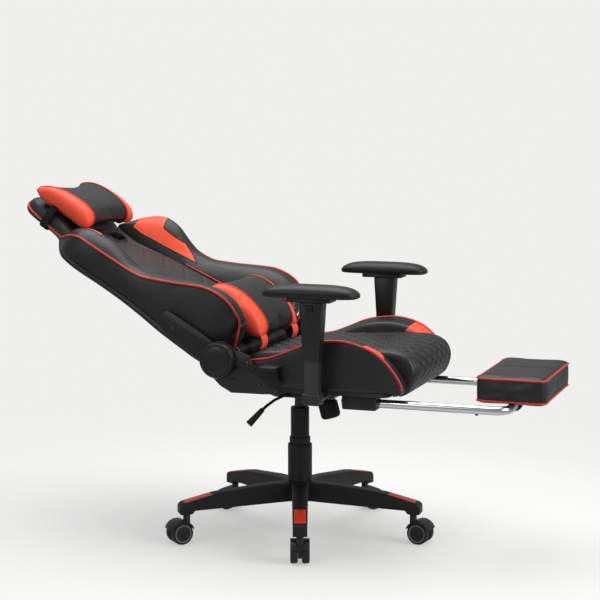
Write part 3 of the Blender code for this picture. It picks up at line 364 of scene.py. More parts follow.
# ======== mesh work
def smooth_path(points: Sequence[Sequence[float]], steps: int = 8,
                closed: bool = False) -> np.ndarray:
    """Points along a smooth curve through chosen points.

    Args:
        points: The chosen points, in 2 or 3 dimensions.
        steps: How many pieces each stretch is cut into.
        closed: Whether the curve comes back to its first point.

    Returns:
        An array of points.
    """
    given = np.array(points, float)
    before = given[-1:] if closed else 2 * given[:1] - given[1:2]
    after = given[:2] if closed else 2 * given[-1:] - given[-2:-1]
    held = np.concatenate([before, given, after])
    share = np.arange(steps)[:, None] / steps
    made = []
    for i in range(len(held) - 3):
        a, b, c, d = held[i:i + 4]
        made.append(0.5 * (2 * b + (c - a) * share + (2 * a - 5 * b + 4 * c - d) * share ** 2
                           + (3 * b - a - 3 * c + d) * share ** 3))
    return np.concatenate(made + ([] if closed else [given[-1:]]))


def travelled(path: np.ndarray) -> np.ndarray:
    """How far along a path each of its points lies."""
    return np.concatenate([[0], np.cumsum(np.linalg.norm(np.diff(path, axis=0), axis=1))])


def spaced(path: np.ndarray, count: int, closed: bool = False) -> np.ndarray:
    """The same path with evenly spaced points.

    Args:
        path: Points of the path.
        count: How many points the new path has.
        closed: Whether the path comes back to its first point.

    Returns:
        An array of points.
    """
    line = np.concatenate([path, path[:1]]) if closed else path
    run = travelled(line)
    wanted = np.linspace(0, run[-1], count + 1 if closed else count)
    even = np.stack([np.interp(wanted, run, line[:, k]) for k in range(line.shape[1])], axis=1)
    return even[:-1] if closed else even


def outward(outline: np.ndarray) -> np.ndarray:
    """Directions that point out of a closed outline, one at each of its points.

    Args:
        outline: A closed outline, either way round.

    Returns:
        An array of unit directions.
    """
    ahead, behind = np.roll(outline, -1, 0), np.roll(outline, 1, 0)
    run = ahead - behind
    normal = np.stack([run[:, 1], -run[:, 0]], axis=1)
    normal /= np.linalg.norm(normal, axis=1)[:, None] + 1e-9
    area = np.sum(outline[:, 0] * ahead[:, 1] - ahead[:, 0] * outline[:, 1])
    return -normal if area < 0 else normal


def levelled(outline: np.ndarray, height: float) -> np.ndarray:
    """A flat outline as a ring of points at one height."""
    return np.concatenate([outline, np.full((len(outline), 1), height)], axis=1)


def linked(name: str, data: bpy.types.ID) -> Piece:
    """A new object in the scene that shows a mesh, a camera or a light."""
    item = bpy.data.objects.new(name, data)
    bpy.context.scene.collection.objects.link(item)
    return item


def new_object(name: str, points: Sequence, edges: Sequence, faces: Sequence) -> Piece:
    """Make an object from points in the row frame, edges and faces."""
    mesh = bpy.data.meshes.new(name)
    mesh.from_pydata([tuple(p) for p in points], edges, faces)
    return linked(name, mesh)


def shaded(piece: Piece, angle: float = 40.0) -> Piece:
    """Shade a piece smooth, but keep edges sharp that turn by more than an angle in degrees."""
    piece.data.shade_smooth()
    piece.data.set_sharp_from_angle(angle=math.radians(angle))
    return piece


def repaired(piece: Piece, angle: float, distance: float = 2e-5) -> Piece:
    """Merge doubles, turn the faces outwards and shade smooth between sharp edges.

    Args:
        piece: The piece to mend.
        angle: Edges sharper than this stay sharp.
        distance: Corners closer than this are merged.

    Returns:
        The same piece.
    """
    shape = bmesh.new()
    shape.from_mesh(piece.data)
    bmesh.ops.remove_doubles(shape, verts=shape.verts, dist=distance)
    bmesh.ops.dissolve_degenerate(shape, edges=shape.edges, dist=distance / 2)
    bmesh.ops.recalc_face_normals(shape, faces=shape.faces)
    shape.to_mesh(piece.data)
    shape.free()
    return shaded(piece, angle)


def loft(name: str, rings: np.ndarray, place: Matrix = Matrix(), closed: bool = False,
         angle: float = 40.0) -> Piece:
    """A closed form through a row of closed rings.

    Args:
        name: The piece's name.
        rings: Array of rings by points by 3.
        place: Turns the rings' frame into the row frame.
        closed: Whether the last ring joins the first; otherwise both ends are capped.
        angle: Edges sharper than this stay sharp.

    Returns:
        The new object.
    """
    count, around = rings.shape[:2]
    points = [place @ Vector(p) for p in rings.reshape(-1, 3)]
    faces = []
    for i in range(count if closed else count - 1):
        for j in range(around):
            k = (j + 1) % around
            here, there = i * around, (i + 1) % count * around
            faces.append((here + j, here + k, there + k, there + j))
    if not closed:
        for ring in (0, count - 1):
            middle = sum((points[ring * around + j] for j in range(around)), Vector()) / around
            points.append(middle)
            hub = len(points) - 1
            faces += [(hub, ring * around + j, ring * around + (j + 1) % around)
                      for j in range(around)]
    return repaired(new_object(name, points, [], faces), angle)


def turned(name: str, profile: Flat, place: Matrix, steps: int = 64) -> Piece:
    """A body of revolution about Z from a closed profile of (radius, height) points.

    Args:
        name: The piece's name.
        profile: The closed profile.
        place: Turns the body's frame into the row frame.
        steps: How many sections go round.

    Returns:
        The new object.
    """
    line = np.array(profile)
    rings = []
    for i in range(steps):
        angle = FULL_TURN * i / steps
        rings.append(np.stack([line[:, 0] * math.cos(angle), line[:, 0] * math.sin(angle),
                               line[:, 1]], axis=1))
    return loft(name, np.array(rings), place, closed=True, angle=30.0)


def rounded_corners(outline: Flat, radius: float, steps: int = 4) -> list[tuple[float, float]]:
    """A closed outline with each corner rounded as far as its edges allow.

    Args:
        outline: Corner points.
        radius: How far from a corner the rounding starts.
        steps: How many pieces each rounding is cut into.

    Returns:
        The points of the new outline.
    """
    made = []
    count = len(outline)
    for i in range(count):
        corner = Vector(outline[i])
        before = Vector(outline[i - 1]) - corner
        after = Vector(outline[(i + 1) % count]) - corner
        reach = min(radius, 0.45 * before.length, 0.45 * after.length)
        start = corner + before.normalized() * reach
        end = corner + after.normalized() * reach
        for k in range(steps + 1):
            t = k / steps
            point = start * (1 - t) ** 2 + corner * 2 * t * (1 - t) + end * t ** 2
            made.append((point.x, point.y))
    return made


def rounded_rectangle(half_x: float, half_y: float, radius: float, steps: int) -> np.ndarray:
    """A rectangle about the middle with rounded corners, anticlockwise."""
    corners = [(-half_x, -half_y), (half_x, -half_y), (half_x, half_y), (-half_x, half_y)]
    return np.array(rounded_corners(corners, radius, steps))


def pillow_rings(outline: np.ndarray, across: np.ndarray, edge: float, power: float = 2.4,
                 pull: float = 0.0) -> np.ndarray:
    """Rings of a soft form: one outline repeated across, drawn in towards both ends.

    Args:
        outline: Closed outline in side view.
        across: Where each ring lies.
        edge: How far the outline is drawn in at the very ends.
        power: How square the ends are.
        pull: How far the sides pull in between the ends.

    Returns:
        Array of rings by points by 3, as (side x, side y, across).
    """
    normal = outward(outline)
    half = (across.max() - across.min()) / 2
    middle = (across.max() + across.min()) / 2
    rings = []
    for x in across:
        share = min(1.0, abs(x - middle) / half)
        start = 1 - edge / half
        near = max(0.0, (share - start) / (1 - start))
        inset = edge * (1 - (1 - near ** power) ** (1 / power)) + pull * (1 - share ** 2)
        rings.append(levelled(outline - normal * inset, x))
    return np.array(rings)


def end_spaced(low: float, high: float, count: int, edge: float, extra: int = 5) -> np.ndarray:
    """Stations from low to high, closer together within the rounded ends."""
    ends = edge * (1 - np.cos(np.linspace(0, math.pi / 2, extra + 1)))
    body = np.linspace(low + edge, high - edge, count)
    return np.concatenate([low + ends[:-1], body, (high - ends[:-1])[::-1]])


def refined(node: str, name: str, bevel: float, segments: int = 2) -> Piece:
    """A copy of a frame node with merged corners and rounded edges.

    Args:
        node: The node's name.
        name: The new piece's name.
        bevel: Width of the rounding.
        segments: How many facets it has.

    Returns:
        The new object.
    """
    piece = linked(name, frame["nodes"][node].data.copy())
    shape = bmesh.new()
    shape.from_mesh(piece.data)
    bmesh.ops.remove_doubles(shape, verts=shape.verts, dist=1e-6)
    bmesh.ops.dissolve_limit(shape, angle_limit=math.radians(1.0), verts=shape.verts,
                             edges=shape.edges)
    shape.to_mesh(piece.data)
    shape.free()
    piece.data.materials.clear()
    edges = piece.modifiers.new("edges", "BEVEL")
    edges.width = bevel
    edges.segments = segments
    edges.limit_method = "ANGLE"
    edges.angle_limit = math.radians(28)
    edges.use_clamp_overlap = True
    edges.harden_normals = False
    return shaded(applied(piece), 35.0)


def applied(piece: Piece) -> Piece:
    """Turn a piece's modifiers into plain mesh."""
    bpy.context.view_layer.update()
    depsgraph = bpy.context.evaluated_depsgraph_get()
    mesh = bpy.data.meshes.new_from_object(piece.evaluated_get(depsgraph))
    piece.modifiers.clear()
    piece.data = mesh
    return piece


def pierced(piece: Piece, holes: Sequence[Piece]) -> Piece:
    """Cut holes through a piece; the bodies that cut them stay.

    Args:
        piece: The piece to cut.
        holes: Bodies that cut it.

    Returns:
        The same piece.
    """
    for hole in holes:
        knife = piece.modifiers.new("cut", "BOOLEAN")
        knife.operation = "DIFFERENCE"
        knife.solver = "EXACT"
        knife.object = hole
    return shaded(applied(piece))


def joined(name: str, pieces: Sequence[Piece]) -> Piece:
    """Several meshes as one object.

    Args:
        name: The new object's name.
        pieces: Objects to join; they are removed.

    Returns:
        The new object, shaded smooth.
    """
    shape = bmesh.new()
    for piece in pieces:
        shape.from_mesh(piece.data)
    mesh = bpy.data.meshes.new(name)
    shape.to_mesh(mesh)
    shape.free()
    for piece in pieces:
        bpy.data.objects.remove(piece, do_unlink=True)
    return shaded(linked(name, mesh), 35.0)


def inflated(piece: Piece, voxel: float, cap: float) -> Piece:
    """Blow a soft piece up with a cloth simulation.

    Args:
        piece: A closed form, a little slimmer than the finished one.
        voxel: Size of the remeshed faces.
        cap: How far a point may move.

    Returns:
        The same piece with its final mesh.
    """
    remesh = piece.modifiers.new("remesh", "REMESH")
    remesh.mode = "VOXEL"
    remesh.voxel_size = voxel
    applied(piece)
    rest = vertex_array(piece)
    cloth = piece.modifiers.new("cloth", "CLOTH")
    cloth.settings.use_pressure = True
    cloth.settings.uniform_pressure_force = CLOTH_PRESSURE
    cloth.settings.effector_weights.gravity = 0.0
    cloth.settings.tension_stiffness = 12
    cloth.settings.compression_stiffness = 12
    cloth.settings.bending_stiffness = 0.6
    cloth.collision_settings.use_collision = False
    scene = bpy.context.scene
    cloth.point_cache.frame_start = 1
    cloth.point_cache.frame_end = CLOTH_FRAMES
    for step in range(1, CLOTH_FRAMES + 1):
        scene.frame_set(step)
    applied(piece)
    scene.frame_set(1)
    moved = vertex_array(piece) - rest
    length = np.linalg.norm(moved, axis=1)[:, None]
    limit = cap * np.tanh(length / cap) / np.maximum(length, 1e-9)
    set_vertices(piece, rest + moved * limit)
    smooth = piece.modifiers.new("smooth", "SMOOTH")
    smooth.iterations = 8
    smooth.factor = 0.5
    finer = piece.modifiers.new("finer", "SUBSURF")
    finer.levels = 1
    finer.render_levels = 1
    applied(piece)
    piece.data.shade_smooth()
    return piece


def vertex_array(piece: Piece) -> np.ndarray:
    """A mesh's points as an array."""
    points = np.zeros(len(piece.data.vertices) * 3)
    piece.data.vertices.foreach_get("co", points)
    return points.reshape(-1, 3)


def set_vertices(piece: Piece, points: np.ndarray) -> None:
    """Move a mesh's points to an array."""
    piece.data.vertices.foreach_set("co", points.astype(np.float32).ravel())
    piece.data.update()


def settled(piece: Piece, finish: str | None, body: str, slot: Slot,
            *replaced: str) -> Piece:
    """Give a piece its finish and its body, and hide the frame nodes that it stands for.

    Args:
        piece: The finished mesh.
        finish: Name of its finish, or None when its faces have theirs.
        body: The body it moves with.
        slot: The record's material slot; not used.
        replaced: Frame nodes that it stands for.

    Returns:
        The same piece.
    """
    if finish is not None:
        piece.data.materials.clear()
        piece.data.materials.append(MATERIALS[finish])
    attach(piece, body)
    if replaced:
        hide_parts(*replaced)
    LOG.info("%s rides on %s, %d faces", piece.name, body, len(piece.data.polygons))
    return piece


def dressed(node: str, finish: str) -> None:
    """Give a frame node that stays its finish."""
    piece = frame["nodes"][node]
    piece.data.materials.clear()
    piece.data.materials.append(MATERIALS[finish])
    LOG.info("%s keeps its shape", node)


# ======== geometry nodes
class Growth(Graph):
    """A Geometry Nodes tree that ends in Realize Instances and Set Material."""

    def __init__(self, name: str, finish: str, sizes: dict[str, float]) -> None:
        """Start a tree with a geometry input and named sizes.

        Args:
            name: The tree's name.
            finish: Name of the finish of all that it makes.
            sizes: Named inputs and their values.
        """
        tree = bpy.data.node_groups.new(name, "GeometryNodeTree")
        super().__init__(tree)
        self.name = name
        self.finish = finish
        self.sizes = sizes
        tree.interface.new_socket("Geometry", in_out="INPUT", socket_type="NodeSocketGeometry")
        self.identifiers = {}
        for size in sizes:
            socket = tree.interface.new_socket(size, in_out="INPUT", socket_type="NodeSocketFloat")
            self.identifiers[size] = socket.identifier
        tree.interface.new_socket("Geometry", in_out="OUTPUT", socket_type="NodeSocketGeometry")
        self.entry = tree.nodes.new("NodeGroupInput")

    def given(self, name: str) -> Signal:
        """One of the tree's inputs."""
        return Signal(self, self.entry.outputs[name])

    def grow(self, name: str, result: Signal, source: Piece) -> Piece:
        """Close the tree, run it on a source and keep its plain mesh.

        Args:
            name: The new piece's name.
            result: The geometry that the tree makes.
            source: Object whose mesh goes in; it becomes the piece.

        Returns:
            The piece.
        """
        real = self.add("GeometryNodeRealizeInstances", {}, {0: result})
        dyed = self.add("GeometryNodeSetMaterial", {}, {
            "Geometry": real, "Material": MATERIALS[self.finish]})
        end = self.tree.nodes.new("NodeGroupOutput")
        self.tree.links.new(dyed.socket, end.inputs[0])
        modifier = source.modifiers.new(self.name, "NODES")
        modifier.node_group = self.tree
        for size, value in self.sizes.items():
            modifier[self.identifiers[size]] = value
        applied(source)
        source.name = name
        source.data.name = name
        return shaded(source)


def wire(name: str, lines: Sequence[Sequence[Sequence[float]]], closed: bool = False,
         place: Matrix = Matrix()) -> Piece:
    """Edges along some paths, as the source for a tree.

    Args:
        name: The source's name.
        lines: The paths.
        closed: Whether each path comes back to its first point.
        place: Turns the paths' frame into the row frame.

    Returns:
        The source.
    """
    points: list[Vector] = []
    edges: list[tuple[int, int]] = []
    for line in lines:
        first = len(points)
        points += [place @ Vector(p) for p in line]
        edges += [(first + i, first + i + 1) for i in range(len(line) - 1)]
        if closed:
            edges.append((len(points) - 1, first))
    return new_object(name, points, edges, [])


def piping(name: str, source: Piece, radius: float, finish: str = "piping",
           sides: int = 10) -> Piece:
    """A round cord along a source's edges.

    Args:
        name: The piece's name.
        source: Edges for the cord to follow.
        radius: Radius of the cord.
        finish: Name of its finish.
        sides: How many facets go round it.

    Returns:
        The cord.
    """
    growth = Growth(name, finish, {"Radius": radius, "Sides": float(sides)})
    curve = growth.add("GeometryNodeMeshToCurve", {}, {"Mesh": growth.given("Geometry")})
    circle = growth.add("GeometryNodeCurvePrimitiveCircle", {}, {
        "Resolution": growth.add("FunctionNodeFloatToInt", {}, {0: growth.given("Sides")}),
        "Radius": growth.given("Radius")})
    cord = growth.add("GeometryNodeCurveToMesh", {}, {
        "Curve": curve, "Profile Curve": circle, "Fill Caps": True})
    return growth.grow(name, cord, source)


def stitches(name: str, source: Piece, pitch: float, width: float) -> Piece:
    """A row of short sunk threads along a source's edges.

    Args:
        name: The piece's name.
        source: Edges for the threads to follow.
        pitch: Length from one stitch to the next.
        width: Radius of the thread.

    Returns:
        The threads.
    """
    growth = Growth(name, "thread", {"Pitch": pitch, "Width": width, "Share": 0.62})
    curve = growth.add("GeometryNodeMeshToCurve", {}, {"Mesh": growth.given("Geometry")})
    marks = growth.tree.nodes.new("GeometryNodeCurveToPoints")
    marks.mode = "LENGTH"
    growth.tree.links.new(curve.socket, marks.inputs["Curve"])
    growth.tree.links.new(growth.given("Pitch").socket, marks.inputs["Length"])
    turn = growth.add("FunctionNodeAlignRotationToVector", {"axis": "Z"}, {
        "Vector": Signal(growth, marks.outputs["Tangent"])})
    thread = growth.add("GeometryNodeMeshUVSphere", {}, {
        "Segments": 6, "Rings": 4, "Radius": growth.given("Width")})
    long = growth.given("Pitch") * growth.given("Share") * 0.5
    scale = growth.add("ShaderNodeCombineXYZ", {}, {
        0: 1.0, 1: 1.0, 2: long / growth.given("Width")})
    rows = growth.add("GeometryNodeInstanceOnPoints", {}, {
        "Points": Signal(growth, marks.outputs["Points"]), "Instance": thread,
        "Rotation": turn, "Scale": scale})
    return growth.grow(name, rows, source)


def screws(name: str, places: Sequence[tuple[Vector, Vector]], radius: float,
           height: float, finish: str = "zinc") -> Piece:
    """Round screw heads with a hexagon socket, each standing on a place along a direction.

    Args:
        name: The piece's name.
        places: Place and direction of each head.
        radius: Radius of a head.
        height: Height of a head.
        finish: Name of their finish.

    Returns:
        The heads, as one piece.
    """
    source = new_object(name, [point for point, way in places], [], [])
    ways = source.data.attributes.new("way", "FLOAT_VECTOR", "POINT")
    ways.data.foreach_set("vector", np.array([tuple(way) for point, way in places],
                                             np.float32).ravel())
    growth = Growth(name, finish, {"Radius": radius, "Height": height})
    wide, tall = growth.given("Radius"), growth.given("Height")
    head = growth.add("GeometryNodeMeshCylinder", {}, {
        "Vertices": 24, "Radius": wide, "Depth": tall})
    crown = growth.add("GeometryNodeMeshCone", {}, {
        "Vertices": 24, "Radius Top": wide * 0.72, "Radius Bottom": wide, "Depth": tall * 0.5})
    lift = growth.add("ShaderNodeCombineXYZ", {}, {2: tall * 0.5})
    crown = growth.add("GeometryNodeTransform", {}, {"Geometry": crown, "Translation": lift})
    socket = growth.add("GeometryNodeMeshCylinder", {}, {
        "Vertices": 6, "Radius": wide * 0.42, "Depth": tall * 2.4})
    up = growth.add("ShaderNodeCombineXYZ", {}, {2: tall * 1.3})
    socket = growth.add("GeometryNodeTransform", {}, {"Geometry": socket, "Translation": up})
    body = growth.add("GeometryNodeMeshBoolean", {"operation": "UNION"}, {1: head})
    boolean = body.socket.node
    growth.tree.links.new(crown.socket, boolean.inputs[1])
    cut = growth.add("GeometryNodeMeshBoolean", {"operation": "DIFFERENCE"}, {0: body, 1: socket})
    turn = growth.add("FunctionNodeAlignRotationToVector", {"axis": "Z"}, {
        "Vector": growth.add("GeometryNodeInputNamedAttribute", {"data_type": "FLOAT_VECTOR"},
                             {"Name": "way"})})
    heads = growth.add("GeometryNodeInstanceOnPoints", {}, {
        "Points": growth.given("Geometry"), "Instance": cut, "Rotation": turn})
    return growth.grow(name, heads, source)


def ribs(name: str, count: int, ring: float, radius: float, depth: float, place: Matrix,
         finish: str) -> Piece:
    """Round ribs spaced about an axis, as on a knob's grip.

    Args:
        name: The piece's name.
        count: How many ribs.
        ring: Radius of the circle they stand on.
        radius: Radius of each rib.
        depth: Length of each rib.
        place: Turns the ribs' frame, about Z, into the row frame.
        finish: Name of their finish.

    Returns:
        The piece.
    """
    growth = Growth(name, finish, {
        "Count": float(count), "Ring": ring, "Radius": radius, "Depth": depth})
    around = growth.add("GeometryNodeMeshCircle", {}, {
        "Vertices": growth.add("FunctionNodeFloatToInt", {}, {0: growth.given("Count")}),
        "Radius": growth.given("Ring")})
    rib = growth.add("GeometryNodeMeshCylinder", {}, {
        "Vertices": 10, "Radius": growth.given("Radius"), "Depth": growth.given("Depth")})
    rows = growth.add("GeometryNodeInstanceOnPoints", {}, {"Points": around, "Instance": rib})
    piece = growth.grow(name, rows, wire(name, [[(0, 0, 0)]]))
    piece.data.transform(place)
    return piece


def sewn(name: str, lines: Sequence[Sequence[Vector]], body: str, pitch: float,
         width: float = 0.0005) -> None:
    """Rows of black thread along some lines, on a leather body."""
    settled(stitches(name, wire("threads", lines), pitch, width), None, body, Slot.LEATHER)


def corded(name: str, source: Piece, radius: float, body: str) -> None:
    """Red piping along a source's edges, on a body."""
    settled(piping(name, source, radius), None, body, Slot.RED_LEATHER)


# ======== frames and panels
def in_back(points: np.ndarray) -> np.ndarray:
    """Row points as (across, up along the back, forward of it)."""
    matrix = np.array(BACK_FRAME.inverted())
    return points @ matrix[:3, :3].T + matrix[:3, 3]


def from_back(points: np.ndarray) -> np.ndarray:
    """Points of the back's own frame in the row frame."""
    matrix = np.array(BACK_FRAME)
    return points @ matrix[:3, :3].T + matrix[:3, 3]


def on_back(x: float, u: float, v: float) -> Vector:
    """One point of the back's own frame in the row frame."""
    return BACK_FRAME @ Vector((x, float(u), float(v)))


def panelled(piece: Piece, cuts: Sequence[Callable[[np.ndarray], np.ndarray]],
             inside: Callable[[np.ndarray], np.ndarray], finishes: tuple[str, str]) -> None:
    """Cut clean panel edges into a skin and give the panels their own leathers.

    Args:
        piece: The skin.
        cuts: Each maps points to a value whose zero line is a panel edge.
        inside: Maps face middles to true where the second finish belongs.
        finishes: The finish of the rest, and the finish of the panels.
    """
    shape = bmesh.new()
    shape.from_mesh(piece.data)
    home = shape.verts.layers.float_vector.new("home")
    for cut in cuts:
        points = np.array([v.co for v in shape.verts])
        values = cut(points)
        for vertex, value in zip(shape.verts, values):
            vertex[home] = vertex.co
            vertex.co.x = value
        geometry = shape.verts[:] + shape.edges[:] + shape.faces[:]
        bmesh.ops.bisect_plane(shape, geom=geometry, dist=1e-5, plane_co=(0, 0, 0),
                               plane_no=(1, 0, 0))
        for vertex in shape.verts:
            vertex.co = vertex[home]
    chosen = inside(np.array([face.calc_center_median() for face in shape.faces]))
    for face, flag in zip(shape.faces, chosen):
        face.material_index = int(flag)
        face.smooth = True
    shape.verts.layers.float_vector.remove(home)
    piece.data.materials.clear()
    for finish in finishes:
        piece.data.materials.append(MATERIALS[finish])
    shape.to_mesh(piece.data)
    shape.free()


def panel_edges(name: str, piece: Piece, lift: float) -> Piece:
    """The lines where a skin's panels meet, as edges lifted a little off it.

    Args:
        name: The new source's name.
        piece: The skin.
        lift: How far they stand off.

    Returns:
        Edges for piping.
    """
    shape = bmesh.new()
    shape.from_mesh(piece.data)
    shape.verts.ensure_lookup_table()
    for vertex in shape.verts:
        vertex.co += vertex.normal * lift
    between = [e for e in shape.edges if len(e.link_faces) == 2
               and e.link_faces[0].material_index != e.link_faces[1].material_index]
    chosen = set(between)
    kept = {v for e in between for v in e.verts}
    bmesh.ops.delete(shape, geom=shape.faces[:], context="FACES_ONLY")
    bmesh.ops.delete(shape, geom=[e for e in shape.edges if e not in chosen], context="EDGES")
    bmesh.ops.delete(shape, geom=[v for v in shape.verts if v not in kept], context="VERTS")
    mesh = bpy.data.meshes.new(name)
    shape.to_mesh(mesh)
    shape.free()
    return linked(name, mesh)


def laid_on(path: Sequence[Sequence[float]], piece: Piece, lift: float) -> list[Vector]:
    """A path pulled onto a skin and lifted a little off it.

    Args:
        path: Points near the skin.
        piece: The skin.
        lift: How far to lift it.

    Returns:
        The points of the path.
    """
    shape = bmesh.new()
    shape.from_mesh(piece.data)
    tree = BVHTree.FromBMesh(shape)
    made = []
    for point in path:
        place, normal, _, _ = tree.find_nearest(Vector(point))
        made.append(place + normal * lift)
    shape.free()
    return made


def box_middle(node: str) -> Vector:
    """Middle of a frame node's box."""
    low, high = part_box(node)
    return (low + high) / 2


def standing(foot: Vector, way: Vector) -> Matrix:
    """The frame of a body that stands on a place, with its Z along a direction."""
    return Matrix.Translation(foot) @ way.to_track_quat("Z", "Y").to_matrix().to_4x4()


# ======== base
@dataclass
class RollingBase:
    """Five-leg base with its caps, casters, lift tube and column covers."""

    edge: float = 0.0014
    fine_edge: float = 0.0005
    hood_edge: float = 0.0006
    wheel_radius: float = 0.0296
    wheel_half: float = 0.00975
    bore: float = 0.0039
    cover_wall: float = 0.0018
    cover_neck: float = 0.0149

    def build(self) -> None:
        """Make every piece of the base."""
        settled(refined("star_base", "base_moulding", self.edge), "nylon", "base", Slot.NYLON,
                "star_base")
        for number in range(1, LEG_COUNT + 1):
            cap = f"leg_cap_{number}"
            settled(refined(cap, f"base_cap_{number}", self.fine_edge), "red_plastic", "base",
                    Slot.RED_PLASTIC, cap)
            self.build_caster(number)
        self.build_column()

    def build_caster(self, number: int) -> None:
        """One hood and its two wheels.

        Args:
            number: Number of the caster.
        """
        hood = f"caster_hood_{number}"
        settled(refined(hood, f"hood_{number}", self.hood_edge), "cap", f"caster_{number}",
                Slot.NYLON, hood)
        middle = (box_middle(f"caster_wheel_{number}a")
                  + box_middle(f"caster_wheel_{number}b")) / 2
        for letter in "ab":
            node = f"caster_wheel_{number}{letter}"
            centre = box_middle(node)
            away = centre - middle
            away.z = 0
            place = standing(centre, away)
            body = f"wheel_{number}{letter}"
            settled(self.wheel(f"tyre_{number}{letter}", place), "rubber", body, Slot.WHEEL, node)
            settled(turned(f"wheel_ring_{number}{letter}", self.ring_profile(), place, 48),
                    "grey_line", body, Slot.WHEEL)

    def wheel(self, name: str, place: Matrix) -> Piece:
        """A wheel with a rounded tread and a dished face with a hub cap.

        Args:
            name: The piece's name.
            place: Where its middle lies, with Z along its axle.

        Returns:
            The wheel.
        """
        rim, half, bore = self.wheel_radius, self.wheel_half, self.bore
        profile = [
            (bore, -half), (rim - 0.0035, -half), (rim - 0.001, -half + 0.0015),
            (rim, -half + 0.004), (rim, half - 0.004), (rim - 0.001, half - 0.0015),
            (rim - 0.0035, half),
            (rim - 0.0055, half), (rim - 0.0065, half - 0.0012), (rim - 0.012, half - 0.0022),
            (rim - 0.019, half - 0.0012), (rim - 0.0205, half), (bore, half)]
        return turned(name, profile, place, 56)

    def ring_profile(self) -> list[tuple[float, float]]:
        """Cross-section of the light ring on a wheel's face."""
        inner, outer = self.wheel_radius - 0.0085, self.wheel_radius - 0.0068
        face = self.wheel_half
        return [(inner, face - 0.0025), (outer, face - 0.0025), (outer, face - 0.0002),
                (inner, face - 0.0004)]

    def build_column(self) -> None:
        """Covers of the lift column; the tube and the rod keep the frame's shape."""
        dressed("lift_cylinder", "steel")
        dressed("lift_piston", "steel")
        for node, name, body in (("cover_lower", "column_cover_foot", "base"),
                                 ("cover_middle", "column_cover_ring", "middle_cover"),
                                 ("cover_upper", "column_cover_top", "lift")):
            low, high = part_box(node)
            outer = (high.x - low.x) / 2
            wall = self.cover_wall
            profile = [
                (outer - wall, low.z), (outer - 0.0006, low.z), (outer, low.z + 0.001),
                (outer, high.z - 0.0014), (outer - 0.0012, high.z), (outer - wall - 0.0004, high.z),
                (outer - wall - 0.0004, low.z + 0.001)]
            if node == "cover_upper":
                neck = self.cover_neck
                profile[5:] = [(neck, high.z), (neck, high.z - 0.002),
                               (outer - wall, high.z - 0.002)]
            place = Matrix.Translation((0, COLUMN_Y, 0))
            settled(turned(name, profile, place, 72), "nylon", body, Slot.NYLON, node)


# ======== tilt mechanism
@dataclass
class Mechanism:
    """Tilt housing, tension knob, levers and the plate under the seat."""

    edge: float = 0.0012
    fine_edge: float = 0.0006
    plate_edge: float = 0.0042
    knob_ribs: int = 22
    knob_radius: float = 0.0265
    knob_height: float = 0.050
    rib_stand: float = 0.0016
    rib_radius: float = 0.0019
    bolt_radius: float = 0.006
    bolt_length: float = 0.040

    def build(self) -> None:
        """Make every piece of the mechanism."""
        for node, name, edge, finish, body, slot in (
                ("mechanism_housing", "tilt_housing", self.edge, "steel", "mechanism", Slot.STEEL),
                ("seat_plate", "plate_under_seat", self.fine_edge, "steel", "seat", Slot.STEEL),
                ("height_lever", "lever_rod", self.fine_edge, "nylon", "height_lever",
                 Slot.NYLON)):
            settled(refined(node, name, edge), finish, body, slot, node)
        dressed("tension_spring", "steel")
        dressed("seat_frame", "board")
        self.build_knob()
        low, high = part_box("seat_plate")
        under = high.z - self.plate_edge
        corners = [(Vector((x, y, under)), DOWN) for x in (low.x + 0.014, high.x - 0.014)
                   for y in (low.y + 0.016, high.y - 0.016)]
        settled(screws("plate_screws", corners, 0.0062, 0.0036), None, "seat", Slot.STEEL)
        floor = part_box("mechanism_housing")[0]
        points = [(Vector((x, COLUMN_Y + y, floor.z)), DOWN)
                  for x in (-0.036, 0.036) for y in (-0.060, 0.030)]
        settled(screws("housing_rivets", points, 0.0045, 0.0024), None, "mechanism", Slot.STEEL)

    def build_knob(self) -> None:
        """Ribbed tension knob on its bolt."""
        joint = next(j for j in frame["joints"] if j["name"] == "tension_knob_turn")
        place = standing(Vector(joint["pos_m"]), Vector(joint["axis"]))
        radius, height = self.knob_radius - self.rib_stand, self.knob_height
        bolt, end = self.bolt_radius, self.knob_height + self.bolt_length
        profile = [
            (0.0, 0.0), (radius - 0.006, 0.0), (radius - 0.002, 0.0016), (radius, 0.005),
            (radius - 0.0006, height - 0.006), (radius - 0.003, height - 0.0012),
            (radius - 0.007, height), (bolt, height), (bolt, end), (0.0, end)]
        knob = turned("knob_turning", profile, place, 64)
        grip = ribs("knob_grips", self.knob_ribs, radius - 0.0002, self.rib_radius, height - 0.013,
                    place @ Matrix.Translation((0, 0, height / 2)), "nylon")
        settled(joined("knob_grip", [knob, grip]), "nylon", "knob", Slot.NYLON, "tension_knob")


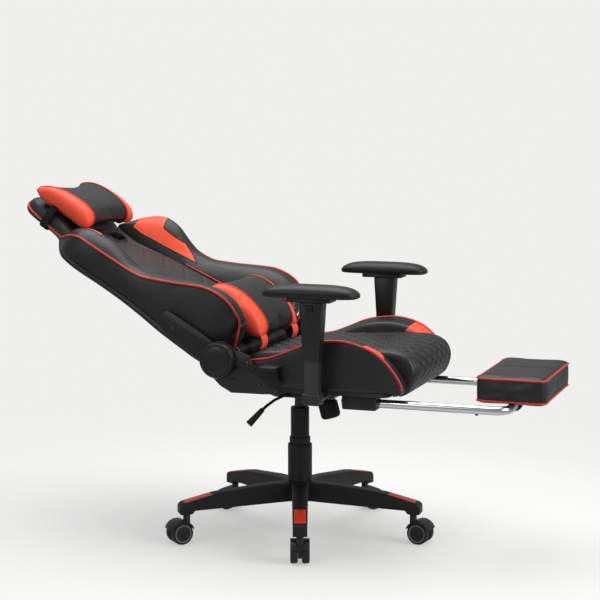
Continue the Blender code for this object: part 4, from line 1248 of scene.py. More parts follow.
# ======== seat
@dataclass
class Seat:
    """Quilted seat panel between two piped bolsters."""

    half_width: float = 0.1865
    bolster_outer: float = 0.262
    quilt_across: float = 0.050
    quilt_along: float = 0.037
    quilt_depth: float = 0.0030
    quilt_seam: float = 0.0023
    quilt_margin: float = 0.162
    cord: float = 0.0032
    cord_inset: float = 0.0075
    front_draw: float = 0.026
    wedge_foot: float = 0.453

    def panel_outline(self) -> np.ndarray:
        """Side view of the panel: over the top, round the nose and back underneath."""
        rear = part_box("seat_cushion")[1].y - COLUMN_Y
        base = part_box("seat_frame")[1].z + 0.0005
        top = smooth_path([
            (rear, 0.484), (rear - 0.012, 0.502), (0.045, 0.522), (-0.060, 0.5305), (-0.170, 0.536),
            (-0.258, 0.541), (-0.318, 0.5405), (-0.356, 0.525), (-0.3725, 0.496), (-0.3690, 0.463),
            (-0.354, 0.436), (-0.331, 0.4255)], 12)
        return self.closed_side(top, rear, base, 400)

    def bolster_outline(self) -> np.ndarray:
        """Side view of a bolster."""
        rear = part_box("seat_bolster_left")[1].y - COLUMN_Y
        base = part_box("seat_frame")[1].z + 0.0005
        top = smooth_path([
            (rear, 0.478), (rear - 0.012, 0.494), (0.044, 0.511), (-0.011, 0.521), (-0.060, 0.540),
            (-0.105, 0.559), (-0.150, 0.569), (-0.198, 0.572), (-0.247, 0.563), (-0.288, 0.544),
            (-0.320, 0.514), (-0.342, 0.482), (-0.3520, 0.458), (-0.348, 0.440),
            (-0.331, 0.4355)], 12)
        return self.closed_side(top, rear, base, 260)

    def closed_side(self, top: np.ndarray, rear: float, base: float, count: int) -> np.ndarray:
        """Close a side view along the seat's flat underside, with so many even points."""
        rest = np.array([(-0.3292, base), (-0.20, base), (-0.05, base), (rear, base)])
        return spaced(np.concatenate([top, rest]), count, closed=True)

    def build(self) -> None:
        """Make the seat's leather, cords and threads."""
        cushion = self.build_panel()
        for word, side in SIDES.items():
            self.build_bolster(word, side)
        self.build_quilt_threads(cushion)

    def build_panel(self) -> Piece:
        """Seat panel with its diamond quilting sunk into it."""
        outline = self.panel_outline()
        across = end_spaced(-self.half_width, self.half_width, 132, 0.014, 6)
        rings = pillow_rings(outline, across, 0.013, 2.2)
        run = travelled(outline)
        out = outward(outline)
        end = self.quilted_length(outline, run)
        slope = math.hypot(1 / self.quilt_across, 1 / self.quilt_along)
        for ring, x in zip(rings, across):
            lines = [(x / self.quilt_across + sign * run / self.quilt_along) for sign in (1, -1)]
            gap = np.min([np.abs(line - np.round(line)) / slope for line in lines], axis=0)
            sunk = np.exp(-(gap / self.quilt_seam) ** 2)
            fade = np.clip((self.quilt_margin - abs(x)) / 0.006, 0, 1)
            fade = fade * np.clip((run - 0.022) / 0.01, 0, 1) * np.clip((end - run) / 0.01, 0, 1)
            border = np.exp(-((abs(x) - self.quilt_margin - 0.003) / 0.003) ** 2) * (run < end)
            crown = 0.005 * (1 - (x / self.half_width) ** 2) * np.clip((end - run) / 0.05, 0, 1)
            depth = crown * (run > 0.02) - self.quilt_depth * np.maximum(sunk * fade, border)
            ring[:, :2] += out * depth[:, None]
        piece = loft("seat_panel_leather", rings, SIDE_FRAME)
        return settled(piece, "leather", "seat", Slot.LEATHER, "seat_cushion")

    def quilted_length(self, outline: np.ndarray, run: np.ndarray) -> float:
        """How far along the outline the quilting goes: to the underside of the nose."""
        front = np.where((outline[:, 0] < -0.30) & (outline[:, 1] < 0.436))[0]
        return float(run[front[0]])

    def build_quilt_threads(self, cushion: Piece) -> None:
        """Stitches along the quilting's diagonals.

        Args:
            cushion: The seat panel that they lie on.
        """
        outline = self.panel_outline()
        run = travelled(outline)
        end = self.quilted_length(outline, run)
        lines = []
        slope = self.quilt_along / self.quilt_across
        count = int((end + 2 * self.quilt_margin * slope) / self.quilt_along) + 2
        for sign in (1, -1):
            for number in range(-8, count):
                line = []
                for x in np.arange(-self.quilt_margin, self.quilt_margin + 0.001, 0.006):
                    along = sign * (number * self.quilt_along - x * slope)
                    if 0.024 < along < end - 0.004:
                        y, z = (np.interp(along, run, outline[:, k]) for k in (0, 1))
                        line.append(SIDE_FRAME @ Vector((y, z, x)))
                if len(line) > 2:
                    lines.append(laid_on(line, cushion, THREAD_LIFT))
        sewn("seat_quilt_threads", lines, "seat", 0.0062)

    def narrowed(self, along: np.ndarray, across: np.ndarray) -> np.ndarray:
        """Draw the bolster in towards the panel at its front."""
        share = np.clip((-0.235 - along) / 0.12, 0, 1) ** 1.6
        reach = (across - self.half_width) / (self.bolster_outer - self.half_width)
        return across - self.front_draw * share * np.clip(reach, 0, 1)

    def cord_line(self, along: np.ndarray) -> np.ndarray:
        """How far out the bolster's cord lies beside some chair y."""
        return self.narrowed(along, np.full(len(along), self.bolster_outer - self.cord_inset))

    def build_bolster(self, word: str, side: int) -> None:
        """One bolster with its red front wedge and the cord along its outer edge.

        Args:
            word: "right" or "left".
            side: RIGHT or LEFT.
        """
        outline = self.bolster_outline()
        inner, outer = self.half_width + 0.0008, self.bolster_outer - 0.004
        stations = end_spaced(inner, outer, 14, 0.010, 6)
        rings = pillow_rings(outline, stations, 0.0085, 2.0)
        share = (stations - inner) / (outer - inner)
        drop = 0.010 * np.clip(1 - share / 0.75, 0, 1) ** 2
        for ring, fall in zip(rings, drop):
            ring[:, 1] -= fall * np.clip((ring[:, 1] - 0.50) / 0.04, 0, 1)
        rings = domed(rings, 0.0035)
        rings[:, :, 2] = self.narrowed(rings[:, :, 0], rings[:, :, 2])
        rings[:, :, 2] *= side
        piece = loft(f"seat_bolster_leather_{word}", rings, SIDE_FRAME)

        def cord_x(points: np.ndarray) -> np.ndarray:
            """How far out the cord lies beside some points."""
            return self.cord_line(points[:, 1] - COLUMN_Y)

        def behind(points: np.ndarray) -> np.ndarray:
            """Distance behind the wedge's slanted rear edge."""
            return (points[:, 1] - COLUMN_Y + 0.236) + 0.75 * (points[:, 2] - 0.536)

        def inward(points: np.ndarray) -> np.ndarray:
            """Distance outside the wedge's inner edge, which runs out at the foot."""
            width = 0.013 * np.clip((points[:, 2] - 0.452) / 0.07, 0, 1)
            width += 0.06 * np.clip((points[:, 2] - 0.530) / 0.012, 0, 1)
            return np.abs(points[:, 0]) - cord_x(points) + width

        def beyond(points: np.ndarray) -> np.ndarray:
            """Distance outside the cord."""
            return np.abs(points[:, 0]) - cord_x(points)

        panelled(piece, [behind, inward, beyond],
                 lambda p: ((behind(p) < 0) & (inward(p) > 0) & (beyond(p) < 0)
                            & (p[:, 2] > self.wedge_foot)),
                 ("leather", "red_leather"))
        settled(piece, None, "seat", Slot.LEATHER, f"seat_bolster_{word}")
        line = outline[outline[:, 1] > 0.4525]
        outer = self.cord_line(line[:, 0])
        path = [SIDE_FRAME @ Vector((y, z, side * x)) for (y, z), x in zip(line, outer)]
        corded(f"seat_cord_{word}", wire("cord", [laid_on(path, piece, CORD_LIFT)]), self.cord,
               "seat")
        path = [SIDE_FRAME @ Vector((y, z - 0.004, side * (x - 0.0105)))
                for (y, z), x in zip(line, outer)]
        sewn(f"seat_bolster_threads_{word}", [laid_on(path, piece, THREAD_LIFT)], "seat", 0.007)


def domed(rings: np.ndarray, bulge: float, steps: int = 5) -> np.ndarray:
    """Add shrinking rings at both ends, so that the end faces bulge a little.

    Args:
        rings: Array of rings by points by 3.
        bulge: How far the faces bulge.
        steps: How many rings each end gets.

    Returns:
        The longer array.
    """
    made = list(rings)
    for last, way in ((rings[-1], 1), (rings[0], -1)):
        middle = last.mean(axis=0)
        for step in range(1, steps + 1):
            share = 1 - step / (steps + 1)
            ring = middle + (last - middle) * share
            ring[:, 2] += way * bulge * (1 - share ** 2)
            if way > 0:
                made.append(ring)
            else:
                made.insert(0, ring)
    return np.array(made)


# ======== recliner
@dataclass
class Recliner:
    """Recliner plates, round caps, screws and the handle."""

    edge: float = 0.0011
    step: float = 0.0064
    cap_radius: float = 0.048
    cap_depth: float = 0.0165

    def build(self) -> None:
        """Make the recliner on both sides."""
        for word, side in SIDES.items():
            for level, body in (("lower", "seat"), ("upper", "back")):
                node = f"recliner_{level}_{word}"
                settled(refined(node, f"recliner_{level}_plate_{word}", self.edge), "cap", body,
                        Slot.STEEL, node)
            self.build_cap(word, side)
            low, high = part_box(f"recliner_lower_{word}")
            face = (high.x if side == LEFT else low.x) - side * self.step
            way = Vector((side, 0, 0))
            lower = [(Vector((face, COLUMN_Y + y, z)), way) for y, z in (
                (0.085, 0.458), (0.012, 0.450), (0.046, 0.505))]
            settled(screws(f"recliner_screws_{word}", lower, 0.0052, 0.003), None, "seat",
                    Slot.STEEL)
            upper = [(on_back(side * 0.2786, 0.148, -0.006), way)]
            settled(screws(f"recliner_arm_screw_{word}", upper, 0.0055, 0.0026), None, "back",
                    Slot.STEEL)
        settled(refined("recline_lever", "recline_handle", self.edge), "nylon", "recline_lever",
                Slot.NYLON, "recline_lever")

    def build_cap(self, word: str, side: int) -> None:
        """Round cap with a shallow rim and a slightly dished face.

        Args:
            word: "right" or "left".
            side: RIGHT or LEFT.
        """
        low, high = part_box(f"recliner_cap_{word}")
        foot = low.x if side > 0 else high.x
        place = Matrix.Translation((foot, PIVOT.y, PIVOT.z)) @ Matrix.Rotation(
            side * math.pi / 2, 4, "Y")
        radius, depth = self.cap_radius, self.cap_depth
        profile = [
            (0.0, 0.0), (radius - 0.0015, 0.0), (radius, 0.0015), (radius - 0.0006, depth - 0.006),
            (radius - 0.003, depth - 0.0014), (radius - 0.007, depth),
            (radius - 0.0105, depth - 0.0002), (radius - 0.012, depth - 0.0012),
            (radius - 0.0135, depth - 0.0004),
            (0.020, depth + 0.0006), (0.0, depth + 0.0008)]
        settled(turned(f"recliner_cover_{word}", profile, place, 96), "cap", "seat", Slot.NYLON,
                f"recliner_cap_{word}")


# ======== backrest
@dataclass
class Backrest:
    """Racing-style back: rear cover, centre pad, two winged bolsters, cords and bezels."""

    base: float = -0.0287
    rear: float = -0.045
    pad_half: float = 0.1495
    cord: float = 0.0031
    inner_cord: float = 0.0022
    hole_x: float = 0.070
    hole_u: float = 0.532
    hole_size: tuple[float, float] = (0.070, 0.038)
    hole_corner: float = 0.016
    channel: float = 0.117
    accent_inset: float = 0.034
    accent_swell: float = 0.012
    near_share: float = 0.62

    EDGE = ((0.012, 0.232), (0.030, 0.252), (0.060, 0.262), (0.120, 0.264), (0.185, 0.262),
            (0.250, 0.252), (0.320, 0.247), (0.390, 0.252), (0.450, 0.262), (0.490, 0.262),
            (0.530, 0.247), (0.565, 0.200), (0.592, 0.160), (0.630, 0.144), (0.690, 0.138),
            (0.722, 0.127), (0.743, 0.100), (0.754, 0.050))
    CORD = ((0.000, 0.062), (0.008, 0.087), (0.021, 0.108), (0.042, 0.125), (0.063, 0.133),
            (0.088, 0.1355), (0.113, 0.133), (0.140, 0.126), (0.173, 0.110), (0.222, 0.083),
            (0.273, 0.057), (0.305, 0.043), (0.345, 0.037), (0.391, 0.036), (0.459, 0.036),
            (0.499, 0.033), (0.525, 0.022), (0.548, 0.004), (0.565, -0.014), (0.584, -0.030),
            (0.600, -0.036), (0.630, -0.037), (0.663, -0.035), (0.719, -0.033), (0.754, -0.031))
    CREST = ((0.000, 0.066), (0.008, 0.091), (0.021, 0.112), (0.042, 0.129), (0.063, 0.137),
             (0.100, 0.138), (0.140, 0.129), (0.192, 0.106), (0.234, 0.084), (0.277, 0.063),
             (0.309, 0.051), (0.344, 0.048), (0.375, 0.055), (0.405, 0.066), (0.431, 0.075),
             (0.460, 0.077), (0.484, 0.072), (0.511, 0.058), (0.534, 0.039), (0.549, 0.023),
             (0.564, 0.006), (0.580, -0.014))
    PAD = ((0.012, 0.028), (0.030, 0.044), (0.070, 0.049), (0.110, 0.048), (0.200, 0.040),
           (0.290, 0.028), (0.380, 0.013), (0.455, -0.003), (0.500, -0.011), (0.560, -0.009),
           (0.605, 0.001), (0.660, 0.005), (0.715, 0.000), (0.740, -0.007), (0.754, -0.014))

    ACCENT = ((0.545, 0.040), (0.500, 0.110), (0.462, 0.054), (0.385, 0.052), (0.318, 0.031),
              (0.468, 0.012), (0.505, 0.006), (0.540, 0.006))
    STUDS = (0.13, 0.215, 0.30, 0.385, 0.47)

    def __post_init__(self) -> None:
        """Draw the three lines that the shapes follow."""
        self.edge_line = smooth_path(self.EDGE, 8)
        self.cord_line = smooth_path(self.CORD, 8)
        self.pad_line = smooth_path(self.PAD, 8)
        self.crest_line = smooth_path(self.CREST, 8)

    def half_width(self, u: np.ndarray | float) -> np.ndarray:
        """Half width of the back at a height along it."""
        return np.interp(u, self.edge_line[:, 0], self.edge_line[:, 1])

    def cord_level(self, u: np.ndarray | float) -> np.ndarray:
        """How far forward the outer cord lies."""
        return np.interp(u, self.cord_line[:, 0], self.cord_line[:, 1])

    def pad_level(self, u: np.ndarray | float) -> np.ndarray:
        """How far forward the centre pad's face lies."""
        return np.interp(u, self.pad_line[:, 0], self.pad_line[:, 1])

    def build(self) -> None:
        """Make every soft piece of the back."""
        holes = [self.hole_cutter(side) for side in (RIGHT, LEFT)]
        self.build_rear(holes)
        self.build_pad(holes)
        for hole in holes:
            bpy.data.objects.remove(hole, do_unlink=True)
        for word, side in SIDES.items():
            self.build_wing(word, side)
            self.build_bezel(word, side)
        self.build_cords()
        self.build_tail()

    def outline(self) -> np.ndarray:
        """Front outline of the back, closed, anticlockwise from the lower left."""
        side = self.edge_line[:, ::-1]
        bottom = [(x, 0.010) for x in (0.222, 0.11)]
        top = [(0.022, 0.7565)]
        half = np.concatenate([np.array(bottom)[::-1], side, np.array(top)])
        whole = np.concatenate([half, half[::-1] * (-1, 1)])
        return spaced(whole, 300, closed=True)

    def build_rear(self, holes: Sequence[Piece]) -> None:
        """Rear cover with softly rounded edges and a crowned rear face.

        Args:
            holes: Bodies that cut the harness openings.
        """
        outline = self.outline()
        out = outward(outline)
        middle = np.array([0.0, 0.36])
        rings = []
        for inset, v in ((0.012, self.base), (0.003, self.base), (0.0008, -0.0315), (0.0, -0.036),
                         (0.001, -0.0405), (0.0045, -0.0440), (0.010, -0.0455), (0.016, -0.0450),
                         (0.0185, -0.0462), (0.024, -0.0470)):
            rings.append(levelled(outline - out * inset, v))
        inner = rings[-1]
        for share in (0.9, 0.75, 0.55, 0.3):
            ring = inner.copy()
            ring[:, :2] = middle + (inner[:, :2] - middle) * share
            ring[:, 2] -= 0.004 * (1 - share ** 2)
            rings.append(ring)
        piece = loft("back_rear_leather", np.array(rings), BACK_FRAME)
        piece = pierced(piece, holes)
        settled(piece, "leather", "back", Slot.LEATHER, "back_shell")
        seam = outline - out * 0.0225
        path = [on_back(x, u, -0.05) for x, u in np.concatenate([seam, seam[:1]])]
        centre = [on_back(0.0, u, -0.06) for u in np.arange(0.05, 0.72, 0.01)]
        sewn("back_rear_threads", [laid_on(line, piece, THREAD_LIFT) for line in (path, centre)],
             "back", 0.0075, 0.0006)
        studs = [(on_back(side * self.half_width(u), u, -0.0385), Vector((side, 0, 0)))
                 for u in self.STUDS for side in (RIGHT, LEFT)]
        settled(screws("back_edge_studs", studs, 0.0030, 0.0018, "cap"), None, "back", Slot.NYLON)

    def build_pad(self, holes: Sequence[Piece]) -> None:
        """Centre pad from the lumbar to the head, with sewn channels.

        Args:
            holes: Bodies that cut the harness openings.
        """
        share = np.linspace(-1, 1, 101)
        across = share * (1.5 - 0.5 * share ** 2)
        along = np.linspace(-1, 1, 261)
        along = along * (1.35 - 0.35 * along ** 2)
        low, high = 0.013, 0.7525
        heights = (low + high) / 2 + (high - low) / 2 * along
        rings = []
        for u, w in zip(heights, along):
            half = min(self.pad_half, float(self.half_width(u)) - 0.006)
            x = across * half
            round_side = (1 - np.abs(across) ** 9) ** (1 / 2.4)
            round_end = (1 - abs(w) ** 26) ** (1 / 2.4)
            v = np.full_like(x, float(self.pad_level(u)))
            v += 0.0015 * (1 - across ** 2) * np.clip((0.5 - u) / 0.1, 0, 1)
            seam_x = self.channel - 0.02 * np.clip((u - 0.42) / 0.08, 0, 1)
            seams = np.exp(-((np.abs(x) - seam_x) / 0.0032) ** 2) * (0.06 < u < 0.512) * 0.0048
            for foot in np.arange(0.08, 0.50, 0.064):
                gap = (u - foot - 0.55 * np.abs(x)) / 1.14
                seams = np.maximum(seams, np.exp(-(gap / 0.0030) ** 2) * 0.0024
                                   * (np.abs(x) < seam_x))
            seams = np.maximum(seams, math.exp(-((u - 0.572) / 0.0034) ** 2) * 0.004)
            near = np.maximum(np.abs(np.abs(x) - self.hole_x) - self.hole_size[0] / 2,
                              abs(u - self.hole_u) - self.hole_size[1] / 2)
            flat = np.clip(1 - near / 0.012, 0, 1)
            v = (v - seams) * (1 - flat) + flat * -0.0150
            v = self.base + (v - self.base) * round_side * round_end
            top = np.stack([x, np.full_like(x, u), v], axis=1)
            floor = top[::-1][1:-1].copy()
            floor[:, 2] = self.base
            rings.append(np.concatenate([top, floor]))
        piece = loft("back_centre_leather", np.array(rings), BACK_FRAME)
        piece = pierced(piece, holes)
        settled(piece, "panel", "back", Slot.LEATHER, "back_cushion")
        lines = [[on_back(side * (self.channel + offset), u, 0.05)
                  for u in np.arange(0.07, 0.42, 0.006)]
                 for side in (RIGHT, LEFT) for offset in (-0.0065, 0.0065)]
        lines.append([on_back(x, 0.5785, 0.03) for x in np.arange(-0.125, 0.126, 0.006)])
        sewn("back_centre_threads", [laid_on(line, piece, THREAD_LIFT) for line in lines], "back",
             0.0068)

    def build_tail(self) -> None:
        """Soft roll under the centre pad, which closes the gap to the seat."""
        curve = smooth_path([
            (0.016, 0.024), (0.004, 0.025), (-0.011, 0.018), (-0.021, 0.002), (-0.026, -0.016),
            (-0.024, -0.034), (-0.012, -0.043), (0.008, -0.044)], 8)
        line = spaced(np.concatenate([curve, np.array([(0.018, -0.035), (0.018, 0.0)])]), 110, True)
        across = end_spaced(-self.pad_half - 0.030, self.pad_half + 0.030, 40, 0.010, 5)
        piece = loft("back_tail_leather", pillow_rings(line, across, 0.010, 2.2), BACK_SIDE)
        settled(piece, "leather", "back", Slot.LEATHER)

    def hole_outline(self, side: int, slack: float = 0.0) -> np.ndarray:
        """Rounded outline of one harness opening, drawn in by a slack."""
        outline = rounded_rectangle(self.hole_size[0] / 2 - slack, self.hole_size[1] / 2 - slack,
                                    self.hole_corner, 6)
        return outline + (side * self.hole_x, self.hole_u)

    def hole_cutter(self, side: int) -> Piece:
        """A rounded block through one harness opening."""
        rings = [levelled(self.hole_outline(side), v) for v in (-0.08, -0.03, 0.08)]
        return loft("harness_cutter", np.array(rings), BACK_FRAME)

    def build_bezel(self, word: str, side: int) -> None:
        """Moulded sleeve that lines one harness opening from front to rear.

        Args:
            word: "right" or "left".
            side: RIGHT or LEFT.
        """
        outline = self.hole_outline(side, 0.0004)
        out = outward(outline)
        section = ((0.0, -0.049), (0.0062, -0.0495), (0.0070, -0.0485), (0.0062, -0.0474),
                   (0.0, -0.0462), (0.0, -0.017), (0.0055, -0.0144), (0.0064, -0.0130),
                   (0.0054, -0.0120), (0.0, -0.0124), (-0.0010, -0.0140), (-0.0011, -0.0470))
        rings = [levelled(outline + out * grow, v) for grow, v in section]
        piece = loft(f"harness_bezel_{word}", np.array(rings), BACK_FRAME, closed=True)
        settled(piece, "cap", "back", Slot.NYLON)

    def swell(self, u: "np.ndarray | float") -> "np.ndarray | float":
        """How far into the shoulder a height lies, from 0 to 1."""
        return np.exp(-((u - 0.452) / 0.075) ** 2)

    def wing_section(self, u: float, side: int) -> np.ndarray:
        """Closed section of a wing at a height along the back.

        Args:
            u: Height along the back.
            side: Which wing.

        Returns:
            Points (x, u, v), x positive; 64 in all.
        """
        edge = float(self.half_width(u)) - 0.0015
        cord = float(self.cord_level(u))
        high = float(np.interp(u, self.crest_line[:, 0], self.crest_line[:, 1]))
        swell = self.swell(u)
        crest = cord + (high - cord) * (1.0 if side == LEFT else 1 - (1 - self.near_share) * swell)
        crest = max(crest, cord + 0.002, self.base + 0.004)
        inner = self.pad_half + 0.0012
        crest_x = edge - 0.030 - 0.018 * swell
        foot = min(float(self.pad_level(u)) - 0.014, crest - 0.004)
        foot = max(foot, self.base + 0.001)
        span = crest_x - inner
        face = smooth_path([
            (inner, foot), (inner + 0.10 * span, foot + 0.30 * (crest - foot)),
            (inner + 0.40 * span, foot + 0.76 * (crest - foot)),
            (inner + 0.72 * span, foot + 0.96 * (crest - foot)), (crest_x, crest),
            (crest_x + 0.55 * (edge - crest_x), crest - 0.30 * (crest - cord) - 0.0012),
            (edge - 0.003, cord)], 6)
        wall = smooth_path([
            (edge - 0.003, cord), (edge + 0.0015, cord - 0.18 * (cord - self.base)),
            (edge + 0.0035, cord - 0.5 * (cord - self.base)),
            (edge + 0.0015, cord - 0.86 * (cord - self.base)), (edge - 0.002, self.base)], 5)
        line = np.concatenate([spaced(face, 36), spaced(wall, 18)[1:],
                               np.array([(edge - 0.02, self.base), (inner + 0.3 * span, self.base),
                                         (inner, self.base)])])
        return np.stack([line[:, 0], np.full(len(line), u), line[:, 1]], axis=1)

    def build_wing(self, word: str, side: int) -> None:
        """One wing with its red shoulder panel.

        Args:
            word: "right" or "left".
            side: RIGHT or LEFT.
        """
        stations = np.concatenate([np.linspace(0.012, 0.10, 20), np.linspace(0.105, 0.575, 96)])
        sections = [self.wing_section(float(u), side) for u in stations]
        foot = []
        for step, share in ((0.0008, 0.995), (-0.002, 0.975), (-0.0055, 0.93), (-0.0075, 0.86),
                            (-0.009, 0.70), (-0.0095, 0.4)):
            ring = sections[0].copy()
            middle = ring.mean(axis=0)
            ring = middle + (ring - middle) * (share, 1, share)
            ring[:, 1] = 0.012 + step
            foot.append(ring)
        rings = np.array(foot[::-1] + sections)
        rings[:, :, 0] *= side
        piece = loft(f"back_wing_leather_{word}", rings, BACK_FRAME, angle=75)
        corners = self.ACCENT

        def line(start: tuple, end: tuple) -> Callable[[np.ndarray], np.ndarray]:
            """A function of points that is zero on a line of the side view."""
            def value(points: np.ndarray) -> np.ndarray:
                """Signed distance from the line, in no fixed unit."""
                flat = in_back(points)
                du, dv = end[0] - start[0], end[1] - start[1]
                return (flat[:, 1] - start[0]) * dv - (flat[:, 2] - start[1]) * du
            return value

        def inside(points: np.ndarray) -> np.ndarray:
            """Whether points lie in the red panel, on the wing's inner face."""
            flat = in_back(points)
            found = np.zeros(len(flat), bool)
            for i in range(len(corners)):
                a, b = corners[i], corners[i - 1]
                crosses = (a[1] > flat[:, 2]) != (b[1] > flat[:, 2])
                at = (b[0] - a[0]) * (flat[:, 2] - a[1]) / (b[1] - a[1] + 1e-12) + a[0]
                found ^= crosses & (flat[:, 1] < at)
            return found & (crest(points) < 0)

        def crest(points: np.ndarray) -> np.ndarray:
            """Distance outside the wing's crest."""
            flat = in_back(points)
            return (np.abs(flat[:, 0]) - self.half_width(flat[:, 1]) + self.accent_inset
                    + self.accent_swell * self.swell(flat[:, 1]))

        cuts = [line(corners[i - 1], corners[i]) for i in range(len(corners))]
        panelled(piece, [*cuts, crest], inside, ("leather", "red_leather"))
        settled(piece, None, "back", Slot.LEATHER, f"back_wing_{word}")
        seam = piping(f"back_accent_seam_{word}", panel_edges("seam", piece, 0.0), 0.0011,
                      "thread", 6)
        settled(seam, None, "back", Slot.LEATHER)
        path = [on_back(side * (self.half_width(u) + 0.02), u, self.cord_level(u) - 0.012)
                for u in np.arange(0.03, 0.55, 0.008)]
        sewn(f"back_wing_threads_{word}", [laid_on(path, piece, THREAD_LIFT)], "back", 0.0075,
             0.0006)

    def build_cords(self) -> None:
        """Red cords: one round the whole outer edge, two beside the centre pad."""
        path = [(0.2250, -0.0090, 0.030), (0.2270, -0.0070, 0.046)]
        for u in np.arange(-0.001, 0.7545, 0.005):
            edge = float(self.half_width(max(u, 0.016)))
            path.append((edge - 0.0022, u, float(self.cord_level(u)) + CORD_LIFT))
        path += [(x, 0.7565, -0.031) for x in (0.030, 0.015)]
        half = smooth_path(path[::2], 3)
        whole = np.concatenate([half * (-1, 1, 1), [(0, 0.7568, -0.031)], half[::-1]])
        corded("back_outer_cord", wire("cord", [whole], place=BACK_FRAME), self.cord, "back")
        for word, side in SIDES.items():
            inner = [(side * (self.pad_half + 0.0005), u, float(self.pad_level(u)) - 0.0065)
                     for u in np.arange(0.03, 0.345 if side == LEFT else 0.245, 0.01)]
            corded(f"back_inner_cord_{word}", wire("cord", [inner], place=BACK_FRAME),
                   self.inner_cord, "back")


# ======== pillows
@dataclass
class Pillow:
    """A strapped pillow: blown up, pressed on the back, with red end panels.

    The outline is a side view in the back's frame, the slimmer shares shrink it before it is
    blown up, and the floor gives how far forward the back lies at some heights.
    """

    name: str
    outline: Flat
    half_length: float
    panel_edge: float
    panel_lean: float
    slimmer: tuple[float, float]
    floor: tuple[tuple[float, float], ...]
    end: float = 0.019
    pull: float = 0.002
    cap: float = 0.009
    cord: float = 0.0024
    voxel: float = 0.005
    fill: float = 0.75
    end_slack: float = 0.003
    thread_inset: float = 0.0068
    strap_thickness: float = 0.0014

    def build(self) -> None:
        """Make the pillow, its seams and its straps."""
        line = smooth_path(self.outline, 8, closed=True)
        middle = line.mean(axis=0)
        line = spaced(middle + (line - middle) * self.slimmer, 130, closed=True)
        across = end_spaced(-self.half_length, self.half_length, 60, self.end, 7)
        rings = pillow_rings(line, across, self.end, 2.5, self.pull)
        piece = loft(f"{self.name}_leather", rings, BACK_SIDE)
        piece = inflated(piece, self.voxel, self.cap)
        points = in_back(vertex_array(piece))
        heights, levels = zip(*self.floor)
        points[:, 2] = np.maximum(points[:, 2], np.interp(points[:, 1], heights, levels))
        reach = self.half_length + self.end_slack
        points[:, 0] = np.clip(points[:, 0], -reach, reach)
        set_vertices(piece, from_back(points))
        high, low = max(p[0] for p in self.outline), min(p[0] for p in self.outline)
        u_middle, u_half = (high + low) / 2, (high - low) / 2

        def edge(rows: np.ndarray) -> np.ndarray:
            """Distance outside the line where the red end panels start."""
            flat = in_back(rows)
            lean = self.panel_lean * ((flat[:, 1] - u_middle) / u_half)
            return np.abs(flat[:, 0]) - self.panel_edge - lean

        panelled(piece, [edge], lambda rows: edge(rows) > 0, ("leather", "red_leather"))
        settled(piece, None, self.name, Slot.LEATHER, self.name)
        corded(f"{self.name}_cord", panel_edges("seam", piece, 0.0004), self.cord, self.name)
        lines = []
        for side in (RIGHT, LEFT):
            path = []
            for u, v in spaced(np.array(self.outline[3:-1]), 60):
                x = (self.panel_edge - self.thread_inset
                     + self.panel_lean * (u - u_middle) / u_half)
                path.append(on_back(side * x, u, v))
            lines.append(laid_on(path, piece, THREAD_LIFT))
        sewn(f"{self.name}_threads", lines, self.name, 0.0066)

    def band(self, name: str, path: np.ndarray, way: Sequence[float], width: float,
             finish: str = "webbing") -> Piece:
        """A flat strap along a path.

        Args:
            name: The piece's name.
            path: Points in the back's own frame.
            way: Direction across the strap, in that frame.
            width: Width of the strap.
            finish: Name of its finish.

        Returns:
            The strap.
        """
        ahead = np.concatenate([path[1:], path[-1:]]) - np.concatenate([path[:1], path[:-1]])
        half = np.array(way) / np.linalg.norm(way) * width / 2
        normal = np.cross(ahead, half)
        normal /= np.linalg.norm(normal, axis=1)[:, None]
        rings = [[p + a * half + b * self.strap_thickness / 2 * n
                  for a, b in ((-1, -1), (1, -1), (1, 1), (-1, 1))] for p, n in zip(path, normal)]
        piece = loft(name, np.array(rings), BACK_FRAME)
        return settled(piece, finish, self.name, Slot.LEATHER)


@dataclass
class HeadPillow(Pillow):
    """Head pillow with an elastic band round the head of the back."""

    strap_at: float = 0.655
    strap_width: float = 0.020

    def build(self) -> None:
        """Make the pillow and its band."""
        super().build()
        half = [(0.128, 0.024), (0.138, 0.012), (0.1468, -0.004), (0.1488, -0.020),
                (0.1488, -0.036), (0.142, -0.0472), (0.122, -0.0522), (0.080, -0.0545),
                (0.030, -0.0552), (0.0, -0.0555)]
        line = smooth_path(np.array(half + [(-x, v) for x, v in half[-2::-1]]), 6)
        path = np.stack([line[:, 0], np.full(len(line), self.strap_at), line[:, 1]], axis=1)
        self.band("head_pillow_strap", path, (0, 1, 0), self.strap_width)


@dataclass
class LumbarPillow(Pillow):
    """Lumbar pillow tied with a short strap at each upper corner and a tab at each lower one."""

    strap_width: float = 0.022
    tab_width: float = 0.040

    def build(self) -> None:
        """Make the pillow and its straps."""
        super().build()
        for word, side in SIDES.items():
            points = np.array([(side * 0.112, 0.150, 0.075), (side * 0.113, 0.166, 0.066),
                               (side * 0.113, 0.182, 0.0520), (side * 0.112, 0.200, 0.0455)])
            self.band(f"lumbar_strap_{word}", smooth_path(points, 6), (1, 0, 0),
                      self.strap_width)
            points = np.array([(side * 0.116, -0.020, 0.074), (side * 0.117, -0.034, 0.068),
                               (side * 0.118, -0.044, 0.056), (side * 0.118, -0.046, 0.042)])
            self.band(f"lumbar_tab_{word}", smooth_path(points, 6), (1, 0, 0), self.tab_width,
                      "red_leather")


